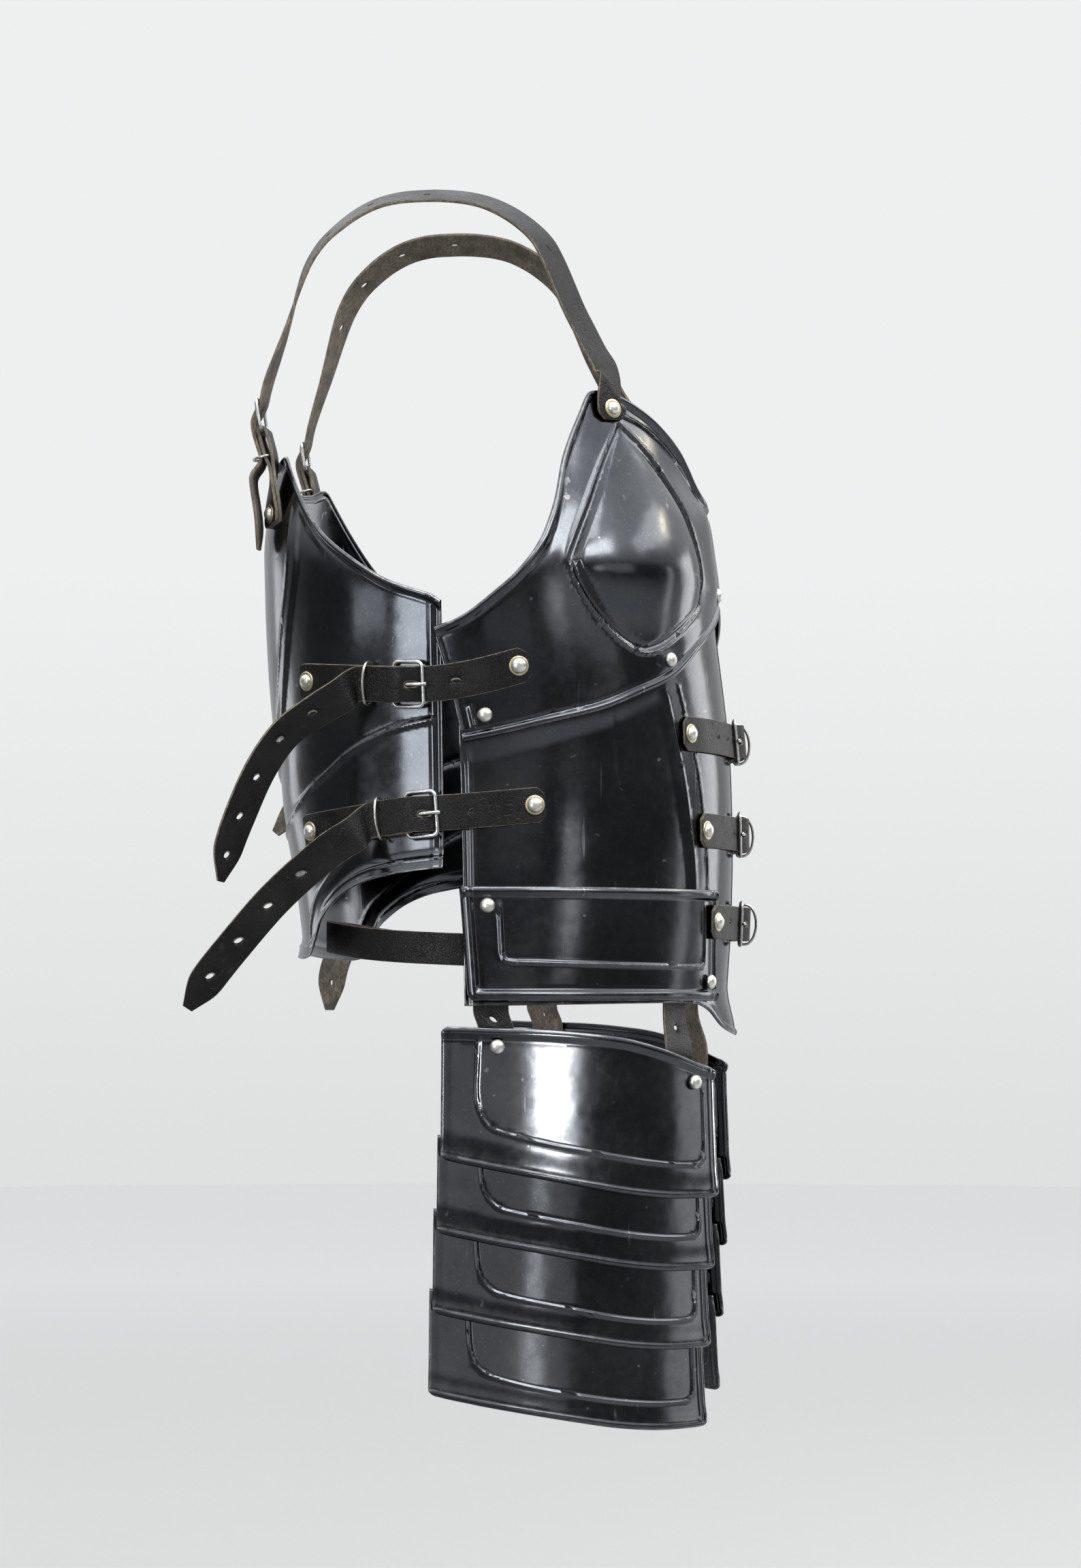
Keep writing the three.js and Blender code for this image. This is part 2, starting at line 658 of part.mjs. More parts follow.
// Waist belt round the back of the body, its ends held inside the belly plate
const BELT_WIDE = 20;
const BELT = [
  { turn: 60, up: 0.166, lift: -0.024 },
  { turn: 68, up: 0.168, lift: -0.026 },
  { turn: 75, up: 0.17, lift: -0.042 },
  { turn: 90, up: 0.174, lift: -0.046 },
  { turn: 106, up: 0.178, lift: -0.05 },
  { turn: 122, up: 0.182, lift: -0.062 },
  { turn: 138, up: 0.186, lift: -0.078 },
  { turn: 152, up: 0.188, lift: -0.092 },
  { turn: 166, up: 0.19, lift: -0.102 },
  { turn: 180, up: 0.19, lift: -0.105 },
];
const beltSpot = ({ turn, up, lift }, side) => ({
  at: onTrunk(side * turn, rise(up), lift * HALF_WIDTH), across: new THREE.Vector3(0, 0, 1), wide: BELT_WIDE,
});
const beltLine = [
  ...BELT.map((row) => beltSpot(row, RIGHT)),
  ...BELT.slice(0, -1).reverse().map((row) => beltSpot(row, LEFT)),
];
add('waist_belt', ribbon(beltLine, LEATHER), HIDE);

// Buckled straps. Lifts are of the middle of the leather or wire over the plate under it.
const RING_WIRE = 1.8;
const RING_AT = 15;
const RING_RISE = 15;
const END_LAP = 7;
const PRONG = { wide: 2.2, thick: 1.8 };
const SEAT = 0.25;
const LOWER = CLEAR + SEAT + LEATHER / 2;
const BAR = LOWER + LEATHER / 2 + CLEAR / 2 + WIRE / 2;
const WRAP = BAR + WIRE / 2 + CLEAR / 2 + LEATHER / 2;
const OVER = WRAP + LEATHER + CLEAR;
const PAIR = LOWER + LEATHER + CLEAR;
const RING_LOW = LOWER + LEATHER / 2 + CLEAR + RING_WIRE / 2;
const RING_CHAPE = RING_LOW + RING_WIRE / 2 + CLEAR + LEATHER / 2;
const RING_STRAP = RING_CHAPE + LEATHER + CLEAR;
const UNDER = LOWER + LEATHER * 0.6;
const FAR_BAR = UNDER + LEATHER / 2 + CLEAR + WIRE / 2;
const STEP_LONG = 16;
const PIN_GAP = 0.12;

const STRAP_AT_BUCKLE = [
  { mm: FRAME_LONG + 8, lift: (LOWER + UNDER) / 2 },
  { mm: FRAME_LONG, lift: UNDER },
  { mm: 5.6, lift: OVER + 0.9 },
  { mm: -8, lift: OVER + 0.2 },
  { mm: -RING_AT, lift: RING_STRAP },
  { mm: -RING_AT - 6, lift: RING_STRAP + 1 },
];

// A line for a strap: rows from the chape's rivet to the strap's own rivet, each with its point and
// outward direction. Distances are from the hinge bar, positive towards the strap's own rivet.
function track(rows, hinge) {
  const spots = [];
  const fine = 3;
  const steps = (rows.length - 1) * fine;
  const cells = rows.map(({ at, out }, i) => ({ i, x: at.x, y: at.y, z: at.z, u: out.x, v: out.y, w: out.z }));
  for (let k = 0; k <= steps; k += 1) {
    const read = (key) => smooth(cells, 'i', key, k / fine);
    spots.push({
      at: new THREE.Vector3(read('x'), read('y'), read('z')),
      out: new THREE.Vector3(read('u'), read('v'), read('w')),
      mm: 0,
    });
  }
  for (let k = 1; k <= steps; k += 1) spots[k].mm = spots[k - 1].mm + spots[k].at.distanceTo(spots[k - 1].at);
  const zero = spots[hinge * fine].mm;
  const frame = (mm) => {
    const want = mm + zero;
    let k = spots.findIndex((spot) => spot.mm > want) - 1;
    if (k === -2) k = steps - 1;
    k = Math.max(0, k);
    const [a, b] = [spots[k], spots[k + 1]];
    const t = (want - a.mm) / (b.mm - a.mm);
    const at = a.at.clone().lerp(b.at, t);
    const along = b.at.clone().sub(a.at).normalize();
    const out = a.out.clone().lerp(b.out, THREE.MathUtils.clamp(t, 0, 1));
    out.addScaledVector(along, -out.dot(along)).normalize();
    return { at, along, out, across: along.clone().cross(out) };
  };
  const spot = (mm, lift) => {
    const { at, out, across } = frame(mm);
    return { at: at.addScaledVector(out, lift), across, wide: STRAP_WIDE };
  };
  return { start: -zero, end: spots[steps].mm - zero, frame, spot };
}

function evenly(from, to) {
  const count = Math.max(1, Math.round(Math.abs(to - from) / STEP_LONG));
  return Array.from({ length: count }, (_, k) => from + (to - from) * k / count);
}

function place(line, x, y, z) {
  const { at, out, across } = line.frame(x);
  return at.addScaledVector(across, y).addScaledVector(out, z);
}

function slot(line, from, to) {
  const size = [to.x - from.x, PRONG.wide + 1.4, to.z - from.z];
  const { at, along, across, out } = line.frame((from.x + to.x) / 2);
  at.addScaledVector(out, (from.z + to.z) / 2);
  const matrix = new THREE.Matrix4().makeBasis(along, across, out).setPosition(at);
  return wasm.Manifold.cube(size, true).transform(matrix.elements);
}

function strapSolid(line, tail, proud) {
  const first = [
    { ...line.spot(line.end + END_LAP, LOWER), wide: STRAP_WIDE * 0.55 },
    line.spot(line.end + END_LAP - 4, LOWER),
  ];
  const run = evenly(line.end, FRAME_LONG + 14).map((mm) => line.spot(mm, LOWER));
  const near = STRAP_AT_BUCKLE.map(({ mm, lift }) => line.spot(mm, lift));
  const leather = ribbon([...first, ...run, ...near, ...tail], LEATHER);
  const { at, out } = line.frame(line.end);
  const top = LOWER + LEATHER / 2;
  const pin = rivet(at.addScaledVector(out, top), out, top + proud - PIN_GAP);
  return joined([leather.subtract(slot(line, { x: 4, z: 0 }, { x: 16.5, z: 16 })), pin]);
}

function chapeSolid(line) {
  const lap = line.start - END_LAP;
  const round = (WRAP - BAR) / Math.cos(radians(30)) + CLEAR * 1.5;
  const across = line.frame(0).across;
  const bend = [30, 90, 150].map((angle) => ({
    at: place(line, round * Math.sin(radians(angle)), 0, BAR - round * Math.cos(radians(angle))),
    across,
    wide: STRAP_WIDE,
  }));
  const lower = evenly(lap, 0).map((mm) => line.spot(mm, LOWER));
  const upper = evenly(lap, -RING_AT - 14).reverse().map((mm) => line.spot(mm, PAIR));
  const leather = ribbon([
    ...lower, ...bend, line.spot(-8, WRAP), line.spot(-RING_AT, RING_CHAPE), line.spot(-RING_AT - 10, PAIR),
    ...upper,
  ], LEATHER);
  const cut = slot(line, { x: -0.6, z: BAR - 0.2 }, { x: 6, z: WRAP + 3 });
  const { at, out } = line.frame(line.start);
  const top = PAIR + LEATHER / 2;
  return joined([leather.subtract(cut), rivet(at.addScaledVector(out, top), out, top - PIN_GAP)]);
}

function buckleSolid(line) {
  const { along, out, across } = line.frame(FRAME_LONG / 2);
  const slope = (FAR_BAR - BAR) / FRAME_LONG;
  const half = (FRAME_WIDE - WIRE) / 2;
  const cut = 3;
  const corners = [
    [cut, -half], [FRAME_LONG - cut, -half], [FRAME_LONG, cut - half], [FRAME_LONG, half - cut],
    [FRAME_LONG - cut, half], [cut, half], [0, half - cut], [0, cut - half],
  ];
  const loop = corners.map(([x, y]) => place(line, x, y, BAR + slope * x));
  const normal = out.clone().addScaledVector(along, -slope).normalize();
  const tongue = [
    { x: 0, z: BAR },
    { x: 5, z: BAR + 2.3 },
    { x: FRAME_LONG, z: FAR_BAR + WIRE / 2 + PRONG.thick / 2 },
    { x: FRAME_LONG + 2.4, z: FAR_BAR + WIRE / 2 + PRONG.thick / 2 - 0.3 },
  ].map(({ x, z }) => ({ at: place(line, x, 0, z), across, wide: PRONG.wide }));
  return joined([hoop(loop, normal, WIRE), ribbon(tongue, PRONG.thick)]);
}

function ringSolid(line) {
  const { at, out, across, along } = line.frame(-RING_AT);
  const half = (RING_WIDE - RING_WIRE) / 2;
  const outline = [
    [-0.9, 0], [0.9, 0], [1, 0.2], [1, 0.62], [0.5, 1], [-0.5, 1], [-1, 0.62], [-1, 0.2],
  ];
  const loop = outline.map(([y, z]) => at.clone()
    .addScaledVector(across, y * half)
    .addScaledVector(out, RING_LOW + z * (RING_RISE - RING_LOW)));
  return hoop(loop, along, RING_WIRE);
}

function addBuckled(name, line, tail, side, proud = 0) {
  add(`strap_${name}`, sided(strapSolid(line, tail, proud), side), HIDE);
  add(`chape_${name}`, sided(chapeSolid(line), side), HIDE);
  add(`buckle_${name}`, sided(buckleSolid(line), side), NICKEL);
  add(`ring_${name}`, sided(ringSolid(line), side), NICKEL);
}

const trunkRows = (rows) => rows.map(({ turn, up, lift }) => ({
  at: onTrunk(turn, rise(up), lift), out: normalOf(trunkSkin, turn, rise(up)),
}));

// A line round the trunk through the rows of anchors, from the turn of the chape's rivet by the turn
// of the hinge bar to the turn of the strap's rivet.
const LINE_STEP = 6;
function trunkTrack(anchors, chape, hinge, rivetTurn) {
  const run = (from, to) => {
    const count = Math.ceil(Math.abs(to - from) / LINE_STEP);
    return Array.from({ length: count }, (_, k) => THREE.MathUtils.lerp(from, to, k / count));
  };
  const first = run(chape, hinge);
  const turns = [...first, ...run(hinge, rivetTurn), rivetTurn];
  const rows = turns.map((turn) => ({
    turn, up: smooth(anchors, 'turn', 'up', turn), lift: smooth(anchors, 'turn', 'lift', turn),
  }));
  return track(trunkRows(rows), first.length);
}

// Side straps: from the rivet on the front to the chape's rivet on the back plate.
const SIDE_STRAPS = [
  {
    name: 'upper',
    hinge: 101.5,
    anchors: [
      { turn: 75.2, up: 0.582, lift: OUTER_LIFT + 0.1 },
      { turn: 83, up: 0.568, lift: OUTER_LIFT + 0.3 },
      { turn: 92, up: 0.557, lift: 2 },
      { turn: 101.5, up: 0.557, lift: 0.5 },
      { turn: 115, up: 0.562, lift: 0 },
      { turn: 128.2, up: 0.568, lift: 0 },
    ],
  },
  {
    name: 'lower',
    hinge: 99.5,
    anchors: [
      { turn: 72.3, up: 0.381, lift: -0.9 },
      { turn: 80, up: 0.376, lift: -0.7 },
      { turn: 90, up: 0.37, lift: 0.7 },
      { turn: 99.5, up: 0.365, lift: 0.2 },
      { turn: 116, up: 0.355, lift: 0 },
      { turn: 132.6, up: 0.348, lift: 0 },
    ],
  },
];
const TAIL_REACH = 120;
const TAIL_FALL = 122;
// Free ends: out from HALF_WIDTH, back from the side line and down from the buckle, as shares of
// HALF_WIDTH, TAIL_REACH and TAIL_FALL; wide is the share of the strap's width, lean its tilt.
const TAILS = {
  right_upper: [
    { out: 1.036, back: 0.53, down: 0.05, wide: 1, lean: 15 },
    { out: 1.048, back: 0.66, down: 0.13, wide: 1, lean: 30 },
    { out: 1.06, back: 0.83, down: 0.25, wide: 1, lean: 38 },
    { out: 1.066, back: 0.96, down: 0.43, wide: 1, lean: 40 },
    { out: 1.066, back: 1.05, down: 0.62, wide: 1, lean: 40 },
    { out: 1.066, back: 1.13, down: 0.83, wide: 0.92, lean: 40 },
    { out: 1.066, back: 1.17, down: 1.0, wide: 0.2, lean: 40 },
  ],
  right_lower: [
    { out: 1.026, back: 0.48, down: 0.09, wide: 1, lean: 8 },
    { out: 1.036, back: 0.58, down: 0.15, wide: 1, lean: 14 },
    { out: 1.054, back: 0.74, down: 0.28, wide: 1, lean: 18 },
    { out: 1.066, back: 0.9, down: 0.43, wide: 1, lean: 20 },
    { out: 1.072, back: 1.06, down: 0.61, wide: 1, lean: 20 },
    { out: 1.078, back: 1.24, down: 0.83, wide: 1, lean: 20 },
    { out: 1.078, back: 1.34, down: 0.97, wide: 0.3, lean: 20 },
  ],
  left_upper: [
    { out: 1.036, back: 0.55, down: 0.04, wide: 1, lean: 10 },
    { out: 1.048, back: 0.72, down: 0.1, wide: 1, lean: 22 },
    { out: 1.06, back: 0.92, down: 0.2, wide: 1, lean: 30 },
    { out: 1.06, back: 1.1, down: 0.33, wide: 1, lean: 30 },
    { out: 1.05, back: 1.28, down: 0.49, wide: 1, lean: 30 },
    { out: 1.04, back: 1.4, down: 0.63, wide: 0.3, lean: 30 },
  ],
  left_lower: [
    { out: 1.026, back: 0.48, down: 0.09, wide: 1, lean: 8 },
    { out: 1.036, back: 0.62, down: 0.19, wide: 1, lean: 14 },
    { out: 1.042, back: 0.8, down: 0.37, wide: 1, lean: 20 },
    { out: 1.03, back: 0.97, down: 0.58, wide: 1, lean: 20 },
    { out: 1.0, back: 1.05, down: 0.82, wide: 1, lean: 20 },
    { out: 0.98, back: 1.06, down: 1.0, wide: 0.3, lean: 20 },
  ],
};

function tailLine(rows, line) {
  const from = line.frame(0).at.z;
  const spots = rows.map(({ out, back, down }) => new THREE.Vector3(
    -out * HALF_WIDTH, SIDE_LINE + back * TAIL_REACH, from - down * TAIL_FALL));
  return rows.map(({ wide, lean }, i) => {
    const along = spots[Math.min(i + 1, spots.length - 1)].clone().sub(spots[Math.max(0, i - 1)]).normalize();
    const face = new THREE.Vector3(-1, 0, 0).addScaledVector(along, along.x).normalize();
    const side = face.clone().cross(along);
    if (side.z < 0) side.negate();
    const up = side.multiplyScalar(Math.cos(radians(lean))).addScaledVector(face, Math.sin(radians(lean)));
    return { at: spots[i], across: up.negate(), wide: STRAP_WIDE * wide };
  });
}
for (const side of [RIGHT, LEFT]) {
  const hand = side === RIGHT ? 'right' : 'left';
  for (const { name, anchors, hinge } of SIDE_STRAPS) {
    const line = trunkTrack(anchors, anchors[anchors.length - 1].turn, hinge, anchors[0].turn);
    const tail = tailLine(TAILS[`${hand}_${name}`], line);
    addBuckled(`side_${hand}_${name}`, line, tail, side);
  }
}

// Belly straps: turn of the rivets either side of the centre and height of the strap.
const BELLY_STRAPS = [
  { name: 'upper', rivet: 30.4, up: 0.495, lift: 0 },
  { name: 'middle', rivet: 25, up: 0.352, lift: 0 },
  { name: 'lower', rivet: 21.9, up: 0.215, lift: OUTER_LIFT + BAND_RIM + 0.4 },
];
const BELLY_HINGE = -4;
for (const { name, rivet: turn, up, lift } of BELLY_STRAPS) {
  const line = trunkTrack([
    { turn: -turn, up, lift },
    { turn: -0.7 * turn, up, lift },
    { turn: BELLY_HINGE, up, lift: lift * 0.4 },
    { turn: 0.3 * turn, up, lift: lift * 0.5 },
    { turn: 0.8 * turn, up, lift },
    { turn, up, lift },
  ], -turn, BELLY_HINGE, turn);
  const over = PAIR + LEATHER + CLEAR + SEAT;
  const tail = evenly(-RING_AT - 14, line.start + 15).map((mm) => line.spot(mm, over));
  tail.push(line.spot(line.start + 15, over));
  tail.push({ ...line.spot(line.start + 11, over), wide: STRAP_WIDE * 0.5 });
  addBuckled(`belly_${name}`, line, tail, RIGHT);
}

// Shoulder straps: a loop from the back plate's tab over the shoulder to the chest plate's tab.
const SHOULDER_PROUD = 1.4;
const LOOP_SPREAD = 88;
const LOOP_DEEP = 220;
const LOOP_RISE = 140;
const LOOP_FRONT = -78;
const LOOP_LOW = 667;
const LOOP = [
  { spread: 0.977, back: 0.983, up: -0.09, aim: 0.977 },
  { spread: 0.977, back: 0.99, up: 0.064, aim: 0.977 },
  { spread: 0.955, back: 0.968, up: 0.207, aim: 0.9 },
  { spread: 0.932, back: 0.935, up: 0.364, aim: 0.8 },
  { spread: 0.898, back: 0.868, up: 0.692, aim: 0.5 },
  { spread: 0.85, back: 0.786, up: 0.85, aim: 0.3 },
  { spread: 0.83, back: 0.686, up: 0.95, aim: 0.2 },
  { spread: 0.82, back: 0.586, up: 0.983, aim: 0.17 },
  { spread: 0.82, back: 0.486, up: 0.983, aim: 0.17 },
  { spread: 0.82, back: 0.389, up: 0.963, aim: 0.17 },
  { spread: 0.84, back: 0.298, up: 0.9, aim: 0.17 },
  { spread: 0.875, back: 0.205, up: 0.78, aim: 0.17 },
  { spread: 0.91, back: 0.155, up: 0.63, aim: 0.17 },
  { spread: 0.94, back: 0.11, up: 0.46, aim: 0.17 },
  { spread: 0.97, back: 0.055, up: 0.29, aim: 0.17 },
  { spread: 1.0, back: 0.015, up: 0.17, aim: 0.17 },
  { spread: 1.025, back: -0.022, up: 0.105, aim: 0.17 },
];
const LOOP_CENTRE = { back: 0.51, up: 0.24 };
const loopRows = LOOP.map(({ spread, back, up, aim }) => ({
  at: new THREE.Vector3(-spread * LOOP_SPREAD, LOOP_FRONT + back * LOOP_DEEP, LOOP_LOW + up * LOOP_RISE),
  out: new THREE.Vector3(
    (aim - spread) * LOOP_SPREAD,
    (back - LOOP_CENTRE.back) * LOOP_DEEP,
    (up - LOOP_CENTRE.up) * LOOP_RISE,
  ).normalize(),
}));
const BACKWARD = new THREE.Vector3(0, 1, 0);
const riseOff = trunkRows([
  { turn: 148, up: 0.828, lift: 0 },
  { turn: 147.9, up: 0.852, lift: 2 },
  { turn: 147.8, up: 0.878, lift: 4.2 },
  { turn: 147.5, up: 0.912, lift: 8 },
]);
riseOff.forEach(({ out }, i) => out.lerp(BACKWARD, i / (riseOff.length - 1)).normalize());
const shoulderRows = [
  ...riseOff,
  ...loopRows,
  ...trunkRows([
    { turn: 48, up: 1.005, lift: OUTER_LIFT + ROLL_LIFT + 1 },
    { turn: 47.6, up: 0.992, lift: OUTER_LIFT + ROLL_LIFT + 0.4 },
    { turn: 47.1, up: 0.974, lift: OUTER_LIFT + SHOULDER_PROUD },
  ]),
];
const SHOULDER_HINGE = 4;
const SHOULDER_TAIL = [
  { back: 1.035, up: -0.3, wide: 1 },
  { back: 1.024, up: -0.42, wide: 1 },
  { back: 1.016, up: -0.53, wide: 0.95 },
  { back: 1.018, up: -0.63, wide: 0.25 },
];
const shoulderTail = SHOULDER_TAIL.map(({ back, up, wide }) => ({
  at: new THREE.Vector3(-LOOP_SPREAD, LOOP_FRONT + back * LOOP_DEEP, LOOP_LOW + up * LOOP_RISE),
  across: new THREE.Vector3(-1, 0, 0),
  wide: STRAP_WIDE * wide,
}));
const shoulderLine = track(shoulderRows, SHOULDER_HINGE);
for (const side of [RIGHT, LEFT]) {
  const hand = side === RIGHT ? 'right' : 'left';
  addBuckled(`shoulder_${hand}`, shoulderLine, shoulderTail, side, 0);
}

// The shoulders, where the straps bear, become the origin.
const cuirass = new THREE.Group();
root.position.z = -STRAP_TOP;
cuirass.add(root);

export default cuirass;
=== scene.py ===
import json
import math

import bmesh
import bpy
import numpy as np
from mathutils import Matrix, Vector

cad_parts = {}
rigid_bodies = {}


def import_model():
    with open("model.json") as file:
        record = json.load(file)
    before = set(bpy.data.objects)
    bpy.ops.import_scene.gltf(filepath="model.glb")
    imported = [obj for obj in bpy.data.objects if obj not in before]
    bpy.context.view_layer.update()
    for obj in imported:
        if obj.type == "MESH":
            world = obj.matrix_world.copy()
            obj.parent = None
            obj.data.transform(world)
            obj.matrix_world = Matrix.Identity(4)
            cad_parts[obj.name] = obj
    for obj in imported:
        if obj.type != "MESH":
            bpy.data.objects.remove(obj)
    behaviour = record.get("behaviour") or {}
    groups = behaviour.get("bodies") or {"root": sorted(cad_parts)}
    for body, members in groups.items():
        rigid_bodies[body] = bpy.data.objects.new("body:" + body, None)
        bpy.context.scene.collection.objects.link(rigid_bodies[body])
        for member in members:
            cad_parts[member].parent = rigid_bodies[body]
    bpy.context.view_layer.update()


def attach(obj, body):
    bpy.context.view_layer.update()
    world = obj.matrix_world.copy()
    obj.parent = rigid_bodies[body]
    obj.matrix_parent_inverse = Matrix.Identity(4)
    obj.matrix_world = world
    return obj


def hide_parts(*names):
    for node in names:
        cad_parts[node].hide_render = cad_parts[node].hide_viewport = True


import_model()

# Steel cuirass for a lady's figure, worn: chest plate with cups, belly plate, hip bands, back plate,
# two thigh guards of four lames, and the buckled leathers. Measures are in millimetres, with heights up
# from a level 23 mm under the lowest lame, until the mesh is written in metres from the strap tops.
MM = 0.001
STRAP_TOP = 807.0
SHEET = 1.2
LEATHER = 2.2
CLEAR = 0.3
OUTER_LIFT = 2.2

TRUNK_LOW = 250.0
TRUNK_RISE = 424.0
HALF_WIDTH = 167.0
FRONT_REACH = 153.4
BACK_REACH = 153.0
SIDE_LINE = 13.0
FRONT_ROUND = 2.0
BACK_ROUND = 2.35
MM_PER_DEGREE = 2.7

# A plate's grid is cut finer where it bows more than BOW within an edge, down to these edge lengths.
BOW = .03
FINEST_EDGE = .5
RIM_EDGE = .8
CUT_ROUNDS = 4

TRUNK_UP = [0, .106, .179, .264, .328, .389, .453, .526, .623, .698, .748, .785, .825, .875, .92, 1]
TRUNK_HALF = [1.036, 1.012, .994, .97, .958, .952, .958, .97, .994, 1, .988, .958, .916, .856, .808, .725]
TRUNK_FRONT = [.971, .975, .988, .997, 1, .997, .991, .974, .941, .919, .909, .896, .88, .844, .815, .769]
TRUNK_BACK = [.771, .797, .824, .856, .889, .922, .941, .964, .984, .993, .997, 1, .993, .974, .948, .895]

CHEST_TOP = [(0, .856), (8, .87), (14.5, .909), (18.7, .931), (28.3, .963), (34.7, .98), (44.6, .998),
             (53.3, .999), (56.7, .97), (62.7, .896), (66.2, .818), (69.4, .766), (74.6, .721),
             (80.7, .686), (86.3, .658), (92.7, .637)]
CHEST_HEM = [(0, .695), (10, .664), (23, .622), (35, .576), (46.5, .546), (56.6, .521), (68.2, .501),
             (78.9, .483), (87.4, .471)]
BELLY_HEM = [(0, .042), (6, .046), (12.8, .056), (19.6, .08), (26, .091), (40, .093), (86.8, .09)]
BACK_TOP = [(91.2, .676), (93.2, .686), (103.1, .709), (112.1, .741), (121.5, .78), (128.4, .818),
            (135.4, .859), (143, .899), (148.5, .919), (156, .908), (168, .902), (180, .9)]
BACK_HEM = [(91.2, .288), (98, .284), (106.1, .277), (113.6, .268), (121.5, .252), (128.5, .231),
            (133.8, .211), (137.5, .187), (143, .163), (160, .162), (180, .168)]
CUP_UP = [.609, .632, .66, .7, .736, .785, .85, .9, .955]
CUP_INNER = [43, 33.5, 26, 20.2, 19, 20.5, 25.6, 32.5, 44]
CUP_OUTER = [45, 52, 57.2, 61.2, 62.8, 60, 54.8, 50.5, 46]
CUP_DEPTH = 11.0

# Sections of the worked edges: millimetres in from the edge, and lift of the steel there.
ROLL = [(0, 1.1), (.3, 2.0), (.9, 2.6), (1.8, 2.85), (2.8, 2.6), (3.6, 1.9), (4.2, 1.1), (4.7, .45),
        (5.3, 0), (6.2, -.12), (7.4, 0)]
BEAD = [(0, .2), (.5, 1.1), (1.3, 1.75), (2.3, 1.95), (3.2, 1.7), (4, 1.05), (4.6, .3), (5.1, -.2),
        (5.8, -.12), (7, 0)]
LIP = [(0, .7), (.4, 1.05), (1.0, 1.0), (1.7, .4), (2.4, 0), (3.4, 0)]


def rise(up):
    return TRUNK_LOW + np.asarray(up) * TRUNK_RISE


def share(height):
    return (height - TRUNK_LOW) / TRUNK_RISE


def ramp(low, high, at):
    t = np.clip((np.asarray(at, float) - low) / (high - low), 0, 1)
    return t * t * (3 - 2 * t)


def hump(distance, wide):
    return np.exp(-(np.asarray(distance) / wide) ** 2)


def through(xs, ys, at):
    """A smooth curve through a table, straight beyond its ends."""
    xs, ys, at = np.asarray(xs, float), np.asarray(ys, float), np.asarray(at, float)
    slopes = np.empty_like(ys)
    slopes[1:-1] = (ys[2:] - ys[:-2]) / (xs[2:] - xs[:-2])
    slopes[0] = (ys[1] - ys[0]) / (xs[1] - xs[0])
    slopes[-1] = (ys[-1] - ys[-2]) / (xs[-1] - xs[-2])
    i = np.clip(np.searchsorted(xs, at, side="right") - 1, 0, len(xs) - 2)
    span = xs[i + 1] - xs[i]
    t = (at - xs[i]) / span
    inner = ((2 * t ** 3 - 3 * t ** 2 + 1) * ys[i] + (t ** 3 - 2 * t ** 2 + t) * slopes[i] * span
             + (3 * t ** 2 - 2 * t ** 3) * ys[i + 1] + (t ** 3 - t ** 2) * slopes[i + 1] * span)
    before = ys[0] + (at - xs[0]) * slopes[0]
    after = ys[-1] + (at - xs[-1]) * slopes[-1]
    return np.where(t < 0, before, np.where(t > 1, after, inner))


def edge_curve(rows, at):
    return through([row[0] for row in rows], [row[1] for row in rows], at)


def section(rows, distance):
    """Lift of a worked edge at a distance from it, nothing beyond its last row."""
    last = rows[-1][0]
    return np.where(distance < last, edge_curve(rows, np.clip(distance, 0, last)), 0)


class FairCurve:
    """A curve with no jump in its bend, for the skin that the polished plates lie on."""

    def __init__(self, xs, ys):
        self.xs, self.ys = np.asarray(xs, float), np.asarray(ys, float)
        count = len(xs)
        span = np.diff(self.xs)
        matrix, right = np.eye(count), np.zeros(count)
        for i in range(1, count - 1):
            matrix[i, i - 1:i + 2] = span[i - 1], 2 * (span[i - 1] + span[i]), span[i]
            right[i] = 6 * ((self.ys[i + 1] - self.ys[i]) / span[i]
                            - (self.ys[i] - self.ys[i - 1]) / span[i - 1])
        self.bend = np.linalg.solve(matrix, right)

    def __call__(self, at):
        xs, ys, bend = self.xs, self.ys, self.bend
        i = np.clip(np.searchsorted(xs, at, side="right") - 1, 0, len(xs) - 2)
        span = xs[i + 1] - xs[i]
        a, b = (xs[i + 1] - at) / span, (at - xs[i]) / span
        return (a * ys[i] + b * ys[i + 1]
                + ((a ** 3 - a) * bend[i] + (b ** 3 - b) * bend[i + 1]) * span ** 2 / 6)


half_curve = FairCurve(TRUNK_UP, TRUNK_HALF)
front_curve = FairCurve(TRUNK_UP, TRUNK_FRONT)
back_curve = FairCurve(TRUNK_UP, TRUNK_BACK)


def trunk_skin(turn, height):
    up = share(np.asarray(height, float))
    half = half_curve(up) * HALF_WIDTH
    front = front_curve(up) * FRONT_REACH + SIDE_LINE
    back = back_curve(up) * BACK_REACH - SIDE_LINE
    s, c = np.sin(np.radians(turn)), np.cos(np.radians(turn))
    power = 2 / np.where(c >= 0, FRONT_ROUND, BACK_ROUND)
    x = -half * np.sign(s) * np.abs(s) ** power
    y = SIDE_LINE - np.where(c >= 0, front, back) * np.sign(c) * np.abs(c) ** power
    return np.stack([x, y, np.broadcast_to(height, x.shape)], -1)


LAME_RADIUS = 187.0
LAME_AXIS = (15.0, 8.0)
LAME_SET_BACK = 2.5
LAME_BACK = 93.0
LAME_FRONT = 35.0
LAME_SPAN = math.radians(LAME_BACK - LAME_FRONT) * LAME_RADIUS


def lame_skin(set_number):
    def skin(turn, height):
        angle = np.radians(turn)
        x = LAME_AXIS[0] - LAME_RADIUS * np.sin(angle)
        y = LAME_AXIS[1] + set_number * LAME_SET_BACK - LAME_RADIUS * np.cos(angle)
        return np.stack([x, y, np.broadcast_to(height, x.shape)], -1)
    return skin


def normal_of(skin, turn, height):
    across = skin(turn + .5, height) - skin(turn - .5, height)
    upward = skin(turn, height + .5) - skin(turn, height - .5)
    normal = np.cross(upward, across)
    return normal / np.linalg.norm(normal, axis=-1, keepdims=True)


